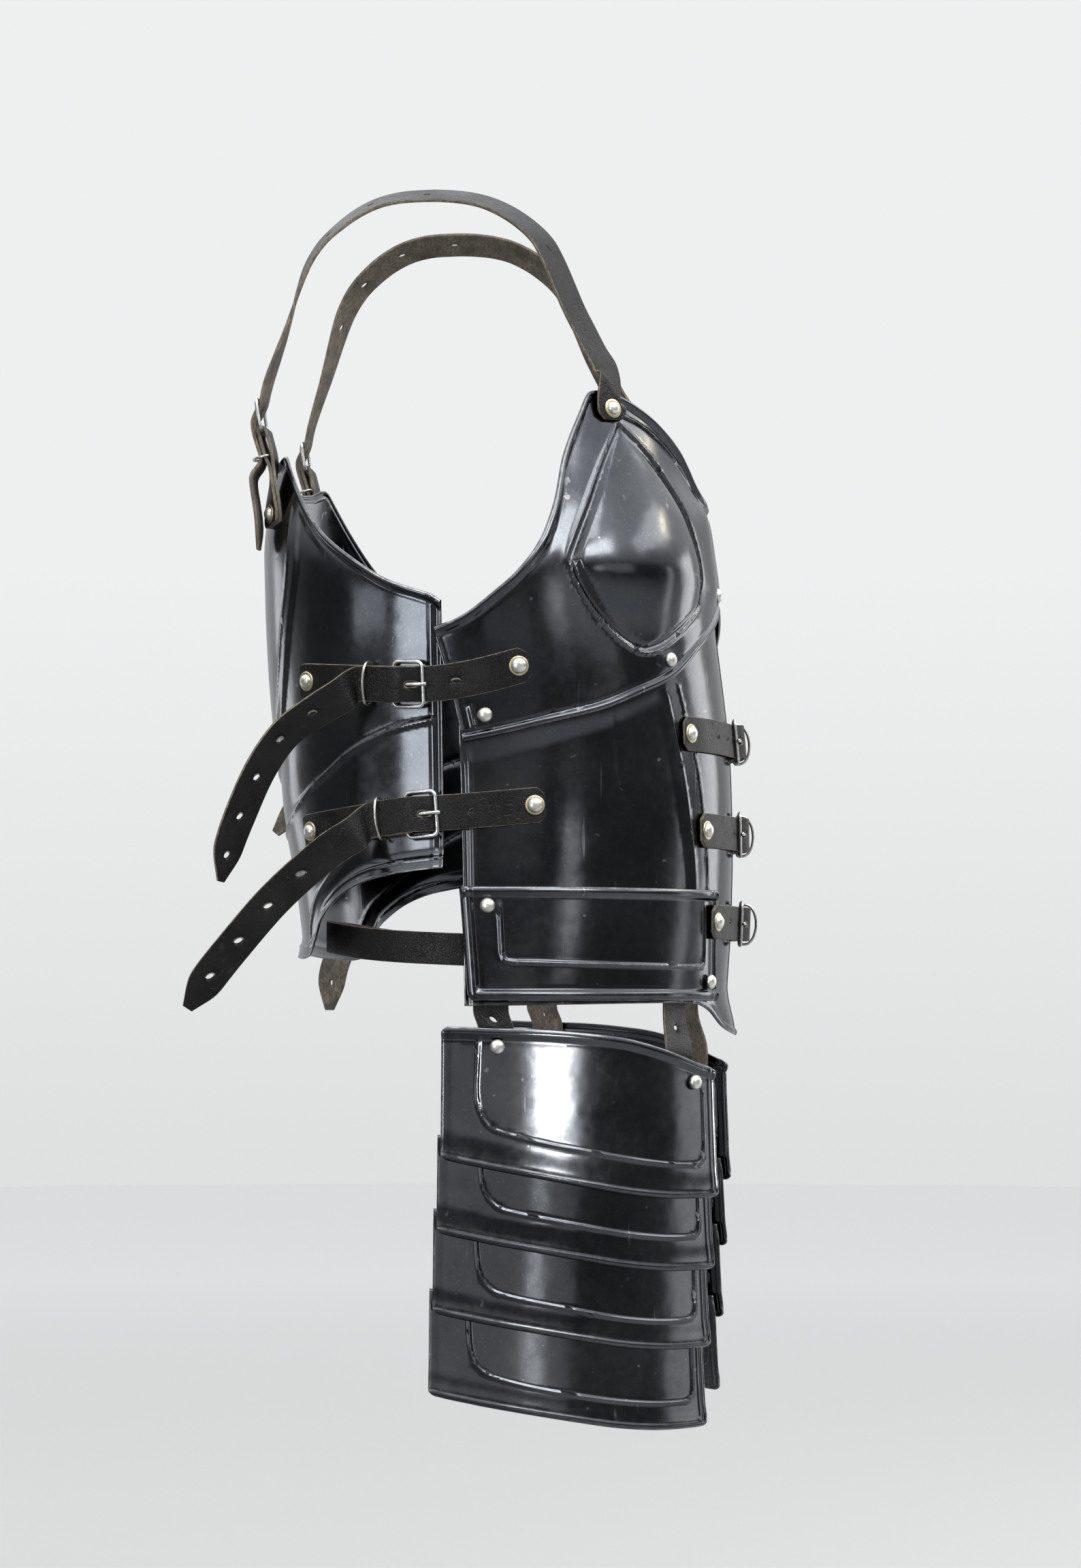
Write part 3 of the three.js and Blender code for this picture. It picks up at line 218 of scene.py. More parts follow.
def on_skin(skin, turn, height, lift):
    turn, height = np.asarray(turn, float), np.asarray(height, float)
    return skin(turn, height) + normal_of(skin, turn, height) * np.asarray(lift)[..., None]


def on_trunk(turn, up, lift=0.0):
    return on_skin(trunk_skin, np.array([turn]), np.array([rise(up)]), np.array([lift]))[0]


def trunk_normal(turn, up):
    return normal_of(trunk_skin, np.array([float(turn)]), np.array([float(rise(up))]))[0]


# Lines worked into the plates
def run_along(points):
    """Millimetres along a row of points, from its first one to each."""
    return np.concatenate([[0], np.cumsum(np.linalg.norm(np.diff(points, axis=0), axis=1))])


def smooth_line(points, fine=8, across=MM_PER_DEGREE):
    """A line through (turn in degrees, height) rows, in millimetres on the skin."""
    points = np.array(points, float) * (across, 1)
    run = run_along(points)
    at = np.linspace(0, run[-1], fine * (len(points) - 1) + 1)
    return np.stack([through(run, points[:, 0], at), through(run, points[:, 1], at)], -1)


def from_line(across, height, line):
    """Distance to a line drawn on a plate, and the side of it: positive to its left."""
    best = np.full(across.shape, 1e9)
    side = np.zeros(across.shape)
    for (ax, ay), (bx, by) in zip(line[:-1], line[1:]):
        dx, dy = bx - ax, by - ay
        t = np.clip(((across - ax) * dx + (height - ay) * dy) / (dx * dx + dy * dy), 0, 1)
        px, py = across - ax - t * dx, height - ay - t * dy
        gap = np.hypot(px, py)
        turn_side = np.sign(dx * py - dy * px)
        nearer = gap < best
        side = np.where(nearer, turn_side, side)
        best = np.where(nearer, gap, best)
    return best, side


def inside_of(across, height, outline):
    crossed = np.zeros(across.shape, bool)
    for (ax, ay), (bx, by) in zip(outline, np.roll(outline, -1, axis=0)):
        if ay == by:
            continue
        spans = (ay > height) != (by > height)
        crossed ^= spans & (across < (bx - ax) * (height - ay) / (by - ay) + ax)
    return crossed


def rounded_corner(along, over, radius):
    """Draws the square corner of a grid into a quarter round; distances are in from the two edges."""
    a, b = np.clip((radius - along) / radius, 0, 1), np.clip((radius - over) / radius, 0, 1)
    near = (a > 0) & (b > 0)
    along = np.where(near, radius * (1 - a * np.sqrt(1 - b * b / 2)), along)
    over = np.where(near, radius * (1 - b * np.sqrt(1 - a * a / 2)), over)
    gap = np.where(near, radius - np.hypot(radius - along, radius - over), np.minimum(along, over))
    return along, over, gap


# Finishes
def new_material(name):
    material = bpy.data.materials.new(name)
    material.use_nodes = True
    tree = material.node_tree
    tree.nodes.clear()
    output = tree.nodes.new("ShaderNodeOutputMaterial")
    shader = tree.nodes.new("ShaderNodeBsdfPrincipled")
    tree.links.new(shader.outputs[0], output.inputs[0])
    return material, tree, shader


def node(tree, kind, **values):
    made = tree.nodes.new(kind)
    for key, value in values.items():
        if key.startswith("in_"):
            slot = key[3:]
            made.inputs[int(slot) if slot.isdigit() else slot.replace("_", " ")].default_value = value
        else:
            setattr(made, key, value)
    return made


def stretched(tree, scale):
    place = node(tree, "ShaderNodeTexCoord")
    mapping = node(tree, "ShaderNodeMapping")
    mapping.inputs["Scale"].default_value = scale
    tree.links.new(place.outputs["Object"], mapping.inputs["Vector"])
    return mapping


def noise(tree, scale, detail=3.0, rough=.55, stretch=(1, 1, 1)):
    pattern = node(tree, "ShaderNodeTexNoise", in_Scale=scale, in_Detail=detail, in_Roughness=rough)
    tree.links.new(stretched(tree, stretch).outputs[0], pattern.inputs["Vector"])
    return pattern.outputs["Fac"]


def banded(tree, value, low, high, to_low=0.0, to_high=1.0):
    band = node(tree, "ShaderNodeMapRange", in_From_Min=low, in_From_Max=high, in_To_Min=to_low,
                in_To_Max=to_high)
    tree.links.new(value, band.inputs["Value"])
    return band.outputs[0]


def worked(tree, operation, first, second):
    made = node(tree, "ShaderNodeMath", operation=operation)
    for i, value in enumerate((first, second)):
        if isinstance(value, (int, float)):
            made.inputs[i].default_value = value
        else:
            tree.links.new(value, made.inputs[i])
    return made.outputs[0]


def blended(tree, share_of, first, second):
    mix = node(tree, "ShaderNodeMix", data_type="RGBA")
    tree.links.new(share_of, mix.inputs[0])
    for i, value in ((6, first), (7, second)):
        if isinstance(value, tuple):
            mix.inputs[i].default_value = (*value, 1)
        else:
            tree.links.new(value, mix.inputs[i])
    return mix.outputs[2]


def scratches(tree, scale, stretch, turn, thin):
    mapping = stretched(tree, stretch)
    mapping.inputs["Rotation"].default_value = turn
    cells = node(tree, "ShaderNodeTexNoise", in_Scale=scale, in_Detail=1.0)
    tree.links.new(mapping.outputs[0], cells.inputs["Vector"])
    return banded(tree, cells.outputs["Fac"], .5 + thin, .5 + thin + .05)


def blackened_steel():
    material, tree, shader = new_material("blackened_steel")
    shader.inputs["Metallic"].default_value = 1.0
    wear = node(tree, "ShaderNodeAttribute", attribute_name="wear").outputs["Fac"]
    cloud = noise(tree, 14, 5, .6)
    fine = noise(tree, 160, 4, .7)
    speck = noise(tree, 620, 2, .6)
    lines = worked(tree, "MAXIMUM",
                   scratches(tree, 210, (1, 1, .05), (.5, .2, .3), .24),
                   scratches(tree, 190, (.06, .9, 1), (.2, 1.1, -.4), .245))
    patchy = banded(tree, cloud, .38, .66)
    scored = worked(tree, "MULTIPLY", lines, patchy)
    rubbed = worked(tree, "MULTIPLY", wear, banded(tree, fine, .38, .68, .08, .95))
    rubbed = worked(tree, "MULTIPLY", rubbed, banded(tree, noise(tree, 11, 2), .42, .6, .4, 1))
    skin = blended(tree, patchy, (.054, .058, .064), (.078, .082, .088))
    skin = blended(tree, banded(tree, speck, .6, .72, 0, .35), skin, (.13, .135, .14))
    skin = blended(tree, worked(tree, "MULTIPLY", scored, .55), skin, (.34, .34, .34))
    bare = blended(tree, banded(tree, noise(tree, 45, 3), .48, .62), (.5, .505, .51), (.47, .44, .37))
    colour = blended(tree, rubbed, skin, bare)
    tree.links.new(colour, shader.inputs["Base Color"])
    rough = worked(tree, "ADD", banded(tree, cloud, .35, .7, .125, .2),
                   banded(tree, fine, .4, .75, 0, .06))
    rough = worked(tree, "ADD", rough, worked(tree, "MULTIPLY", rubbed, .14))
    tree.links.new(worked(tree, "ADD", rough, worked(tree, "MULTIPLY", scored, .12)),
                   shader.inputs["Roughness"])
    beaten = node(tree, "ShaderNodeBump", in_Strength=.35, in_Distance=.0012)
    tree.links.new(noise(tree, 30, 2, .5), beaten.inputs["Height"])
    grain = node(tree, "ShaderNodeBump", in_Strength=.28, in_Distance=.00009)
    tree.links.new(worked(tree, "ADD", fine, worked(tree, "MULTIPLY", scored, -2.0)), grain.inputs["Height"])
    tree.links.new(beaten.outputs[0], grain.inputs["Normal"])
    tree.links.new(grain.outputs[0], shader.inputs["Normal"])
    return material


def black_leather():
    material, tree, shader = new_material("black_leather")
    cloud = noise(tree, 40, 4, .6)
    creases = node(tree, "ShaderNodeTexVoronoi", feature="DISTANCE_TO_EDGE", in_Scale=520.0)
    tree.links.new(stretched(tree, (1, 1, 1)).outputs[0], creases.inputs["Vector"])
    crease = banded(tree, creases.outputs["Distance"], .0, .16)
    pores = noise(tree, 1500, 3, .6)
    colour = blended(tree, banded(tree, cloud, .4, .7), (.0034, .0033, .0032), (.0072, .0068, .0063))
    rubbed = banded(tree, noise(tree, 95, 5, .7), .6, .78, 0, .6)
    colour = blended(tree, rubbed, colour, (.034, .029, .024))
    wear = node(tree, "ShaderNodeAttribute", attribute_name="wear").outputs["Fac"]
    bare = worked(tree, "MULTIPLY", banded(tree, wear, .45, .95),
                  banded(tree, noise(tree, 170, 4, .7), .38, .56, .15, 1))
    tree.links.new(blended(tree, bare, colour, (.27, .215, .15)), shader.inputs["Base Color"])
    tree.links.new(banded(tree, cloud, .3, .75, .3, .5), shader.inputs["Roughness"])
    shader.inputs["Specular IOR Level"].default_value = .2
    bump = node(tree, "ShaderNodeBump", in_Strength=.45, in_Distance=.0002)
    tree.links.new(worked(tree, "ADD", crease, worked(tree, "MULTIPLY", pores, .6)), bump.inputs["Height"])
    cracks = node(tree, "ShaderNodeTexVoronoi", feature="DISTANCE_TO_EDGE", in_Scale=230.0)
    tree.links.new(stretched(tree, (1, 1, 1)).outputs[0], cracks.inputs["Vector"])
    cracked = worked(tree, "MULTIPLY", banded(tree, cracks.outputs["Distance"], .0, .12, -1, 0),
                     banded(tree, noise(tree, 55, 3, .6), .5, .62))
    split = node(tree, "ShaderNodeBump", in_Strength=.5, in_Distance=.0004)
    tree.links.new(cracked, split.inputs["Height"])
    tree.links.new(bump.outputs[0], split.inputs["Normal"])
    tree.links.new(split.outputs[0], shader.inputs["Normal"])
    return material


def cut_leather():
    material, tree, shader = new_material("cut_leather")
    fibres = noise(tree, 900, 5, .75, (1, 1, .25))
    cloud = noise(tree, 90, 4, .6)
    colour = blended(tree, banded(tree, fibres, .35, .68), (.035, .029, .023), (.21, .175, .13))
    tree.links.new(blended(tree, banded(tree, cloud, .42, .68), colour, (.055, .047, .038)),
                   shader.inputs["Base Color"])
    shader.inputs["Roughness"].default_value = .86
    bump = node(tree, "ShaderNodeBump", in_Strength=.8, in_Distance=.0004)
    tree.links.new(fibres, bump.inputs["Height"])
    tree.links.new(bump.outputs[0], shader.inputs["Normal"])
    return material


def nickel(name, bright, tarnish, low_rough):
    material, tree, shader = new_material(name)
    shader.inputs["Metallic"].default_value = 1.0
    cloud = noise(tree, 260, 4, .65)
    pits = noise(tree, 1400, 3, .6)
    tree.links.new(blended(tree, banded(tree, cloud, .4, .66), bright, tarnish), shader.inputs["Base Color"])
    tree.links.new(banded(tree, cloud, .35, .7, low_rough, low_rough + .2), shader.inputs["Roughness"])
    bump = node(tree, "ShaderNodeBump", in_Strength=.35, in_Distance=.00012)
    tree.links.new(worked(tree, "ADD", pits, cloud), bump.inputs["Height"])
    tree.links.new(bump.outputs[0], shader.inputs["Normal"])
    return material


STEEL = blackened_steel()
HIDE = black_leather()
CUT = cut_leather()
CAST = nickel("buckle_nickel", (.55, .555, .56), (.3, .295, .29), .24)
WIRE_FINISH = nickel("ring_nickel", (.52, .51, .48), (.26, .25, .22), .22)
DOME = nickel("rivet_nickel", (.72, .71, .68), (.47, .45, .40), .3)
BRASS = nickel("washer_brass", (.56, .49, .33), (.34, .30, .2), .32)


# Pieces
def row_frame(points):
    return (np.asarray(points, float) - (0, 0, STRAP_TOP)) * MM


def put_up(name, mesh, materials, nodes):
    piece = bpy.data.objects.new(name, mesh)
    bpy.context.scene.collection.objects.link(piece)
    for material in materials:
        mesh.materials.append(material)
    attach(piece, "root")
    if nodes:
        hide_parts(*nodes)
    return piece


def smooth_faces(mesh):
    mesh.polygons.foreach_set("use_smooth", [True] * len(mesh.polygons))
    mesh.update()


def walled(piece, thick, offset):
    wall = piece.modifiers.new("wall", "SOLIDIFY")
    wall.thickness = thick * MM
    wall.offset = offset
    return wall


def cut_where_it_bends(bm, place):
    """Cuts a flat grid finer wherever the plate that it becomes bends within an edge."""
    edges, known = bm.edges[:], np.empty((0, 3))
    for _ in range(CUT_ROUNDS):
        bm.verts.index_update()
        flat = np.array([vert.co[:2] for vert in bm.verts])
        known = np.concatenate([known, place(*flat[len(known):].T)[0]])
        ends = np.array([[vert.index for vert in edge.verts] for edge in edges])
        rim = np.array([edge.verts[0].is_boundary != edge.verts[1].is_boundary for edge in edges])
        first, last = known[ends[:, 0]], known[ends[:, 1]]
        middle = place(*((flat[ends[:, 0]] + flat[ends[:, 1]]) / 2).T)[0]
        long = np.linalg.norm(last - first, axis=1)
        bow = np.linalg.norm(middle - (first + last) / 2, axis=1)
        bent = ((bow > BOW) & (long > FINEST_EDGE)) | (rim & (long > RIM_EDGE))
        if not bent.any():
            return
        made = bmesh.ops.subdivide_edges(bm, edges=[edge for edge, cut in zip(edges, bent) if cut], cuts=1,
                                         use_grid_fill=True)
        edges = list({part for key in ("geom_inner", "geom_split") for part in made[key]
                      if isinstance(part, bmesh.types.BMEdge)})


def plate(name, nodes, wide, tall, place):
    """A sheet of steel: a flat grid from 0 to 1 both ways, carried onto the plate's skin."""
    bm = bmesh.new()
    bmesh.ops.create_grid(bm, x_segments=wide, y_segments=tall, size=.5,
                          matrix=Matrix.Translation((.5, .5, 0)))
    cut_where_it_bends(bm, place)
    flat = np.array([vert.co[:2] for vert in bm.verts])
    points, outward, wear = place(*flat.T)
    for vert, point in zip(bm.verts, row_frame(points)):
        vert.co = point
    bm.normal_update()
    facing = sum(face.normal.dot(Vector(outward[face.verts[0].index])) for face in bm.faces)
    if facing < 0:
        bmesh.ops.reverse_faces(bm, faces=bm.faces[:])
    mesh = bpy.data.meshes.new(name)
    bm.to_mesh(mesh)
    bm.free()
    mesh.attributes.new("wear", "FLOAT", "POINT").data.foreach_set("value", wear.astype(np.float32))
    smooth_faces(mesh)
    piece = put_up(name, mesh, [STEEL], nodes)
    walled(piece, SHEET, -1)
    return piece


def other_side(piece, name, nodes):
    """The same steel plate on the wearer's left."""
    mesh = piece.data.copy()
    mesh.name = name
    mesh.materials.clear()
    mesh.transform(Matrix.Scale(-1, 4, (1, 0, 0)))
    mesh.flip_normals()
    walled(put_up(name, mesh, [STEEL], nodes), SHEET, -1)


def edge_stretch(rows, turn):
    """How much longer a height is than the distance square to a sloping edge."""
    slope = (edge_curve(rows, turn + .4) - edge_curve(rows, turn - .4)) * TRUNK_RISE / (.8 * MM_PER_DEGREE)
    return np.sqrt(1 + np.clip(slope, -3.3, 3.3) ** 2)


# Chest plate
CHEST_TOP_TURN, CHEST_HEM_TURN = 92.7, 87.4
CUP_UPPER = smooth_line([(44.5, 655), (50.3, 632), (54.9, 610), (59, 587), (62.8, 563)])
CUP_LOWER = smooth_line([(62.8, 563), (61.2, 551.3), (57.2, 533.8), (51.9, 518.2), (47, 510), (43.1, 508),
                         (39, 511), (34.6, 516.9), (26.8, 529.6), (21.5, 538.8), (20, 543.5)])
CUP_RIGHT = smooth_line([(20, 543.5), (19, 564.9), (20.3, 580.9), (23, 596.5), (25.6, 609.1), (31, 628),
                         (37, 641.6), (44.5, 655)])
CUP_OUTLINE = np.concatenate([CUP_UPPER[:-1], CUP_LOWER[:-1], CUP_RIGHT[:-1]])
NECK_RIB = smooth_line([(42.5, 660), (36, 656), (29.3, 648.5), (22.6, 639), (16.5, 629), (11, 618), (7, 607),
                        (4.2, 594)])


def cup_lift(turn, up):
    inner, outer = through(CUP_UP, CUP_INNER, up), through(CUP_UP, CUP_OUTER, up)
    across = (2 * turn - inner - outer) / np.maximum(1, outer - inner)
    along = ramp(0, .13, up - CUP_UP[0]) * ramp(0, .24, CUP_UP[-1] - up)
    swell = np.clip(1 - across ** 2, 0, 1) ** .6
    return np.where((up > CUP_UP[0]) & (up < CUP_UP[-1]), CUP_DEPTH * along * swell, 0)


def chest_place(column, row):
    column = 2 * column - 1
    side = np.abs(column)
    top_turn, hem_turn = side * CHEST_TOP_TURN, side * CHEST_HEM_TURN
    high, low = rise(edge_curve(CHEST_TOP, top_turn)), rise(edge_curve(CHEST_HEM, hem_turn))
    high_stretch, low_stretch = edge_stretch(CHEST_TOP, top_turn), edge_stretch(CHEST_HEM, hem_turn)
    height = low + (high - low) * row
    turn = hem_turn + (top_turn - hem_turn) * row
    up = share(height)
    across = turn * MM_PER_DEGREE
    in_top = (high - height) / high_stretch
    in_hem = (height - low) / low_stretch
    in_side = (1 - side) * turn / np.maximum(side, .01) * MM_PER_DEGREE
    in_cup = inside_of(across, height, CUP_OUTLINE)
    gaps = [from_line(across, height, line)[0] for line in (CUP_UPPER, CUP_LOWER, CUP_RIGHT)]
    nearest = np.minimum.reduce(gaps)
    shares = [np.exp((nearest - gap) / 1.6) for gap in gaps]
    upper_share, lower_share, right_share = (each / sum(shares) for each in shares)
    edge = np.where(in_cup, nearest, -nearest)
    cup = cup_lift(turn, up) * ramp(1.8, 6.5, nearest) * in_cup
    cup_edge = upper_share * (1.1 * hump(edge + 1.6, 2.1) - 1.3 * hump(edge - 1.5, 1.9))
    cup_edge += lower_share * (1.15 * hump(edge + .2, 1.3) - .7 * hump(edge - 3.9, 1.5))
    past_right = (across - np.interp(height, *CUP_RIGHT.T[::-1])) * .88
    panel = ramp(.69, .735, up) * (1 - .82 * ramp(.8, .93, up))
    cup_edge += 2.4 * panel * (1 - ramp(-1.7, 1.7, past_right)) * hump(np.minimum(past_right, 0), 22)
    cup_edge += right_share * (.8 * (1 - panel) * hump(edge + .6, 1.2)
                               - 2.0 * panel * hump(edge - 3.4, 3.2) * in_cup)
    crown = 2.6 * hump(turn - 8, 7) * ramp(.69, .73, up) * ramp(0, .06, .89 - up)
    rib, _ = from_line(across, height, NECK_RIB)
    rib_fade = ramp(4.2, 12, turn) * ramp(0, 6, in_top - 5)
    side_rib = .85 * hump(in_side - 8, 1.2) * (1 - ramp(17, 24, in_hem)) * ramp(5, 8, in_hem)
    lift = OUTER_LIFT + cup + cup_edge + crown + 1.1 * hump(rib, 1.3) * rib_fade + side_rib
    lift += section(ROLL, in_top) * ramp(0, 1.5, in_side + .6)
    lift += np.maximum(section(BEAD, in_hem), 0) - .25 * hump(in_hem - 5.6, .9)
    lift += section(LIP, in_side) * ramp(3, 6, in_hem) * ramp(3, 6, in_top)

    wear = .6 * hump(in_top - .5, .7) + .12 * hump(in_top - 5, .8) + .3 * hump(in_hem - .6, .9)
    wear += .6 * hump(in_side - .4, .5) + .24 * lower_share * hump(edge + .2, .8)
    wear += (.5 * upper_share * hump(edge + 1.2, 1) * ramp(.79, .85, up)
             + .12 * right_share * hump(edge + .6, 1.0))
    wear += .15 * hump(rib, 1.0) * rib_fade + .2 * side_rib
    points = on_skin(trunk_skin, np.sign(column) * turn, height, lift)
    return points, normal_of(trunk_skin, np.sign(column) * turn, height), np.clip(wear, 0, 1)


# Belly plate
BELLY_TOP_TURN, BELLY_HEM_TURN = 88.6, 86.8
BELLY_TUCK = 24
FLARE_OUT, FLARE_WIDE, FLARE_TALL = 6, 16, 34
BELLY_STEP = smooth_line([(43, 540), (39.2, 492), (36.3, 452), (34, 426), (32.3, 402), (30.9, 382),
                          (29.9, 361), (29.5, 330), (29, 240)])
BELLY_CREASE = smooth_line([(34.6, 516), (33.2, 498.4), (31.9, 486.7), (30.3, 468), (27.9, 447.8),
                            (26.2, 428), (24.9, 408), (23.4, 385.9), (22.7, 361.1), (22.4, 330)])
SIDE_CREASE = smooth_line([(53.6, 486), (53, 470), (52.4, 450), (52, 428)])


def hem_flare(turn, above):
    """The point of the hem turns outward at the middle; above is the height over the hem."""
    return FLARE_OUT * hump(turn, FLARE_WIDE) * (1 - ramp(0, FLARE_TALL, above))


def belly_place(column, row):
    column = 2 * column - 1
    side = np.abs(column)
    top_turn, hem_turn = side * BELLY_TOP_TURN, side * BELLY_HEM_TURN
    high = rise(edge_curve(CHEST_HEM, top_turn)) + BELLY_TUCK
    low = rise(edge_curve(BELLY_HEM, hem_turn))
    stretch = edge_stretch(BELLY_HEM, hem_turn)
    height = low + (high - low) * row
    turn = hem_turn + (top_turn - hem_turn) * row
    across = turn * MM_PER_DEGREE
    in_hem = (height - low) / stretch
    in_side = (1 - side) * turn / np.maximum(side, .01) * MM_PER_DEGREE
    under = 1 - ramp(-14, 0, height - (high - BELLY_TUCK))
    gap, hand = from_line(across, height, BELLY_STEP)
    beyond = ramp(-4.5, 4.5, gap * hand)
    crease, _ = from_line(across, height, BELLY_CREASE)
    faint, _ = from_line(across, height, SIDE_CREASE)
    lift = -CLEAR + hem_flare(turn, height - low) + under * (-1.7 * beyond + .75 * hump(crease, 1.2))
    lift += under * (.7 * hump(gap * hand + 4.6, 1.6) + .35 * hump(faint, 1.6))
    lift += under * (.6 * section(LIP, in_side) + .9 * hump(in_side - 5, 1.5))
    lift += .55 * section(BEAD, in_hem) * hump(turn, 22)
    wear = .5 * hump(in_side - .4, .6) + .15 * hump(in_side - 5, 1) + .15 * hump(crease, .9)
    wear += .4 * hump(in_hem - .8, 1.0) + .1 * hump(gap * hand + 4.6, 1.2)
    points = on_skin(trunk_skin, np.sign(column) * turn, height, lift)
    return points, normal_of(trunk_skin, np.sign(column) * turn, height), np.clip(wear, 0, 1)


# Hip bands
BAND_TOP, BAND_HEM = float(rise(.2625)), float(rise(.096))
BAND_TALL = BAND_TOP - BAND_HEM
BAND_SPAN = 67.6 * MM_PER_DEGREE
BAND_HEM_TURNS, BAND_TOP_TURNS = (86, 18.6), (88.2, 20.3)
BAND_RIDGE = smooth_line([(21.9, 66), (21.7, 50), (21.5, 36), (21.6, 28), (22.4, 25.4), (25.5, 24.2),
                          (40, 23.8), (90, 22.6), (140, 22.0), (160, 21.8), (165.5, 22.6), (167.4, 26),
                          (167.7, 40), (167.8, 62)], 5, 1)
BAND_HEM_ROLL = [(0, -.3), (.5, .5), (1.2, 1.1), (2.4, 1.75), (4, 2.0), (5.4, 1.6), (6.4, .8), (7.2, .1),
                 (8, -.15), (9.4, 0)]
BAND_TOP_ROLL = [(0, .5), (.4, .9), (1.4, 1.5), (3, 1.9), (4.6, 1.6), (5.8, .8), (6.6, .1), (7.4, 0)]


def band_place(column, row):
    along, over, gap = rounded_corner(column * BAND_SPAN, row * BAND_TALL, 5.0)
    far, up_gap = BAND_SPAN - along, BAND_TALL - over
    hem_turn, top_turn = (start + (end - start) * along / BAND_SPAN
                          for start, end in (BAND_HEM_TURNS, BAND_TOP_TURNS))
    turn = hem_turn + (top_turn - hem_turn) * (over / BAND_TALL)
    height = BAND_HEM + over
    ridge, _ = from_line(along, over, BAND_RIDGE)
    ridge_fade = 1 - ramp(56, 64, over)
    lift = OUTER_LIFT + hem_flare(turn, over)
    lift += section(BAND_HEM_ROLL, np.minimum(gap, up_gap + 20))
    lift += section(LIP, far) + .55 * hump(far - 6, 1.6)
    lift += section(BAND_TOP_ROLL, up_gap)
    lift += 1.2 * hump(ridge, 1.15) * ridge_fade
    wear = .6 * hump(gap - .4, .6) + .16 * hump(gap - 4, 1.2) + .55 * hump(up_gap - .4, .6)
    wear += .12 * hump(up_gap - 6.2, .8) + .22 * hump(ridge, .8) * ridge_fade + .5 * hump(far - .4, .6)
    points = on_skin(trunk_skin, turn, height, lift)
    return points, normal_of(trunk_skin, turn, height), np.clip(wear, 0, 1)


# Back plate
BACK_SPAN = 88.8
BACK_LINE = smooth_line([(134, 606), (134.3, 585), (134.8, 561.5), (138.6, 530), (143.5, 495.3),
                         (148.1, 471.6), (153, 458), (158.1, 446.8), (166, 436), (180, 428)])
BACK_TWIN = smooth_line([(138.5, 604), (138.8, 580), (140, 556), (143.6, 530), (148, 500), (153, 478),
                         (160, 462), (170, 452), (180, 448)])
WAIST_ARC = smooth_line([(93.5, 464.2), (101, 460), (109, 453), (117, 444.5), (125.3, 433.4), (134, 424),
                         (142.5, 414.6), (153, 405), (166, 398), (180, 396)])
LOW_ARC = smooth_line([(96, 413), (104, 405), (112, 393.5), (121.9, 378.7), (130.6, 366.5), (138.7, 354.8),
                       (144.4, 340), (147.9, 321)])


def back_place(column, row):
    column = 2 * column - 1
    side = np.abs(column)
    turn = 180 - side * BACK_SPAN
    high, low = rise(edge_curve(BACK_TOP, turn)), rise(edge_curve(BACK_HEM, turn))
    high_stretch, low_stretch = edge_stretch(BACK_TOP, turn), edge_stretch(BACK_HEM, turn)
    height = low + (high - low) * row
    across = turn * MM_PER_DEGREE
    in_top = (high - height) / high_stretch
    in_hem = (height - low) / low_stretch
    in_side = (1 - side) * BACK_SPAN * MM_PER_DEGREE
    line, hand = from_line(across, height, BACK_LINE)
    twin, _ = from_line(across, height, BACK_TWIN)
    waist, waist_hand = from_line(across, height, WAIST_ARC)
    low_arc, _ = from_line(across, height, LOW_ARC)
    lift = section(ROLL, in_top) * ramp(0, 1.5, in_side + .6)
    lift += 4 * (1 - ramp(0, 14, height - low)) + .8 * hump(in_hem - 7.2, 1.1) + section(LIP, in_hem) * .5
    lift += .6 * section(LIP, in_side) + .7 * hump(in_side - 5.5, 1.8)
    inner_fade = ramp(7, 12, in_top)
    lift += -1.5 * ramp(-3, 3, -line * hand) * inner_fade * hump(line * (-line * hand > 0), 26)
    lift += .5 * hump(twin, 1.6) * inner_fade
    side_fade = ramp(2, 8, in_side)
    lift += (1.1 * hump(waist, 1.9) * side_fade
             - .6 * ramp(-2, 2, waist * waist_hand) * hump(waist, 20) * side_fade)
    lift += .8 * hump(low_arc, 1.8) * ramp(6, 14, in_side) * ramp(8, 14, in_hem)
    wear = .6 * hump(in_top - .6, .8) + .2 * hump(in_top - 5, .8) + .4 * hump(in_hem - .5, .7)
    wear += .15 * hump(in_hem - 7.2, 1) + .3 * hump(in_side - .4, .5) + .14 * hump(waist, 1.2) * side_fade
    wear += .12 * hump(low_arc, 1.1) + .1 * hump(line, 1.2) * inner_fade
    sign = np.where(column < 0, -1.0, 1.0)
    points = on_skin(trunk_skin, sign * turn, height, lift)
    return points, normal_of(trunk_skin, sign * turn, height), np.clip(wear, 0, 1)


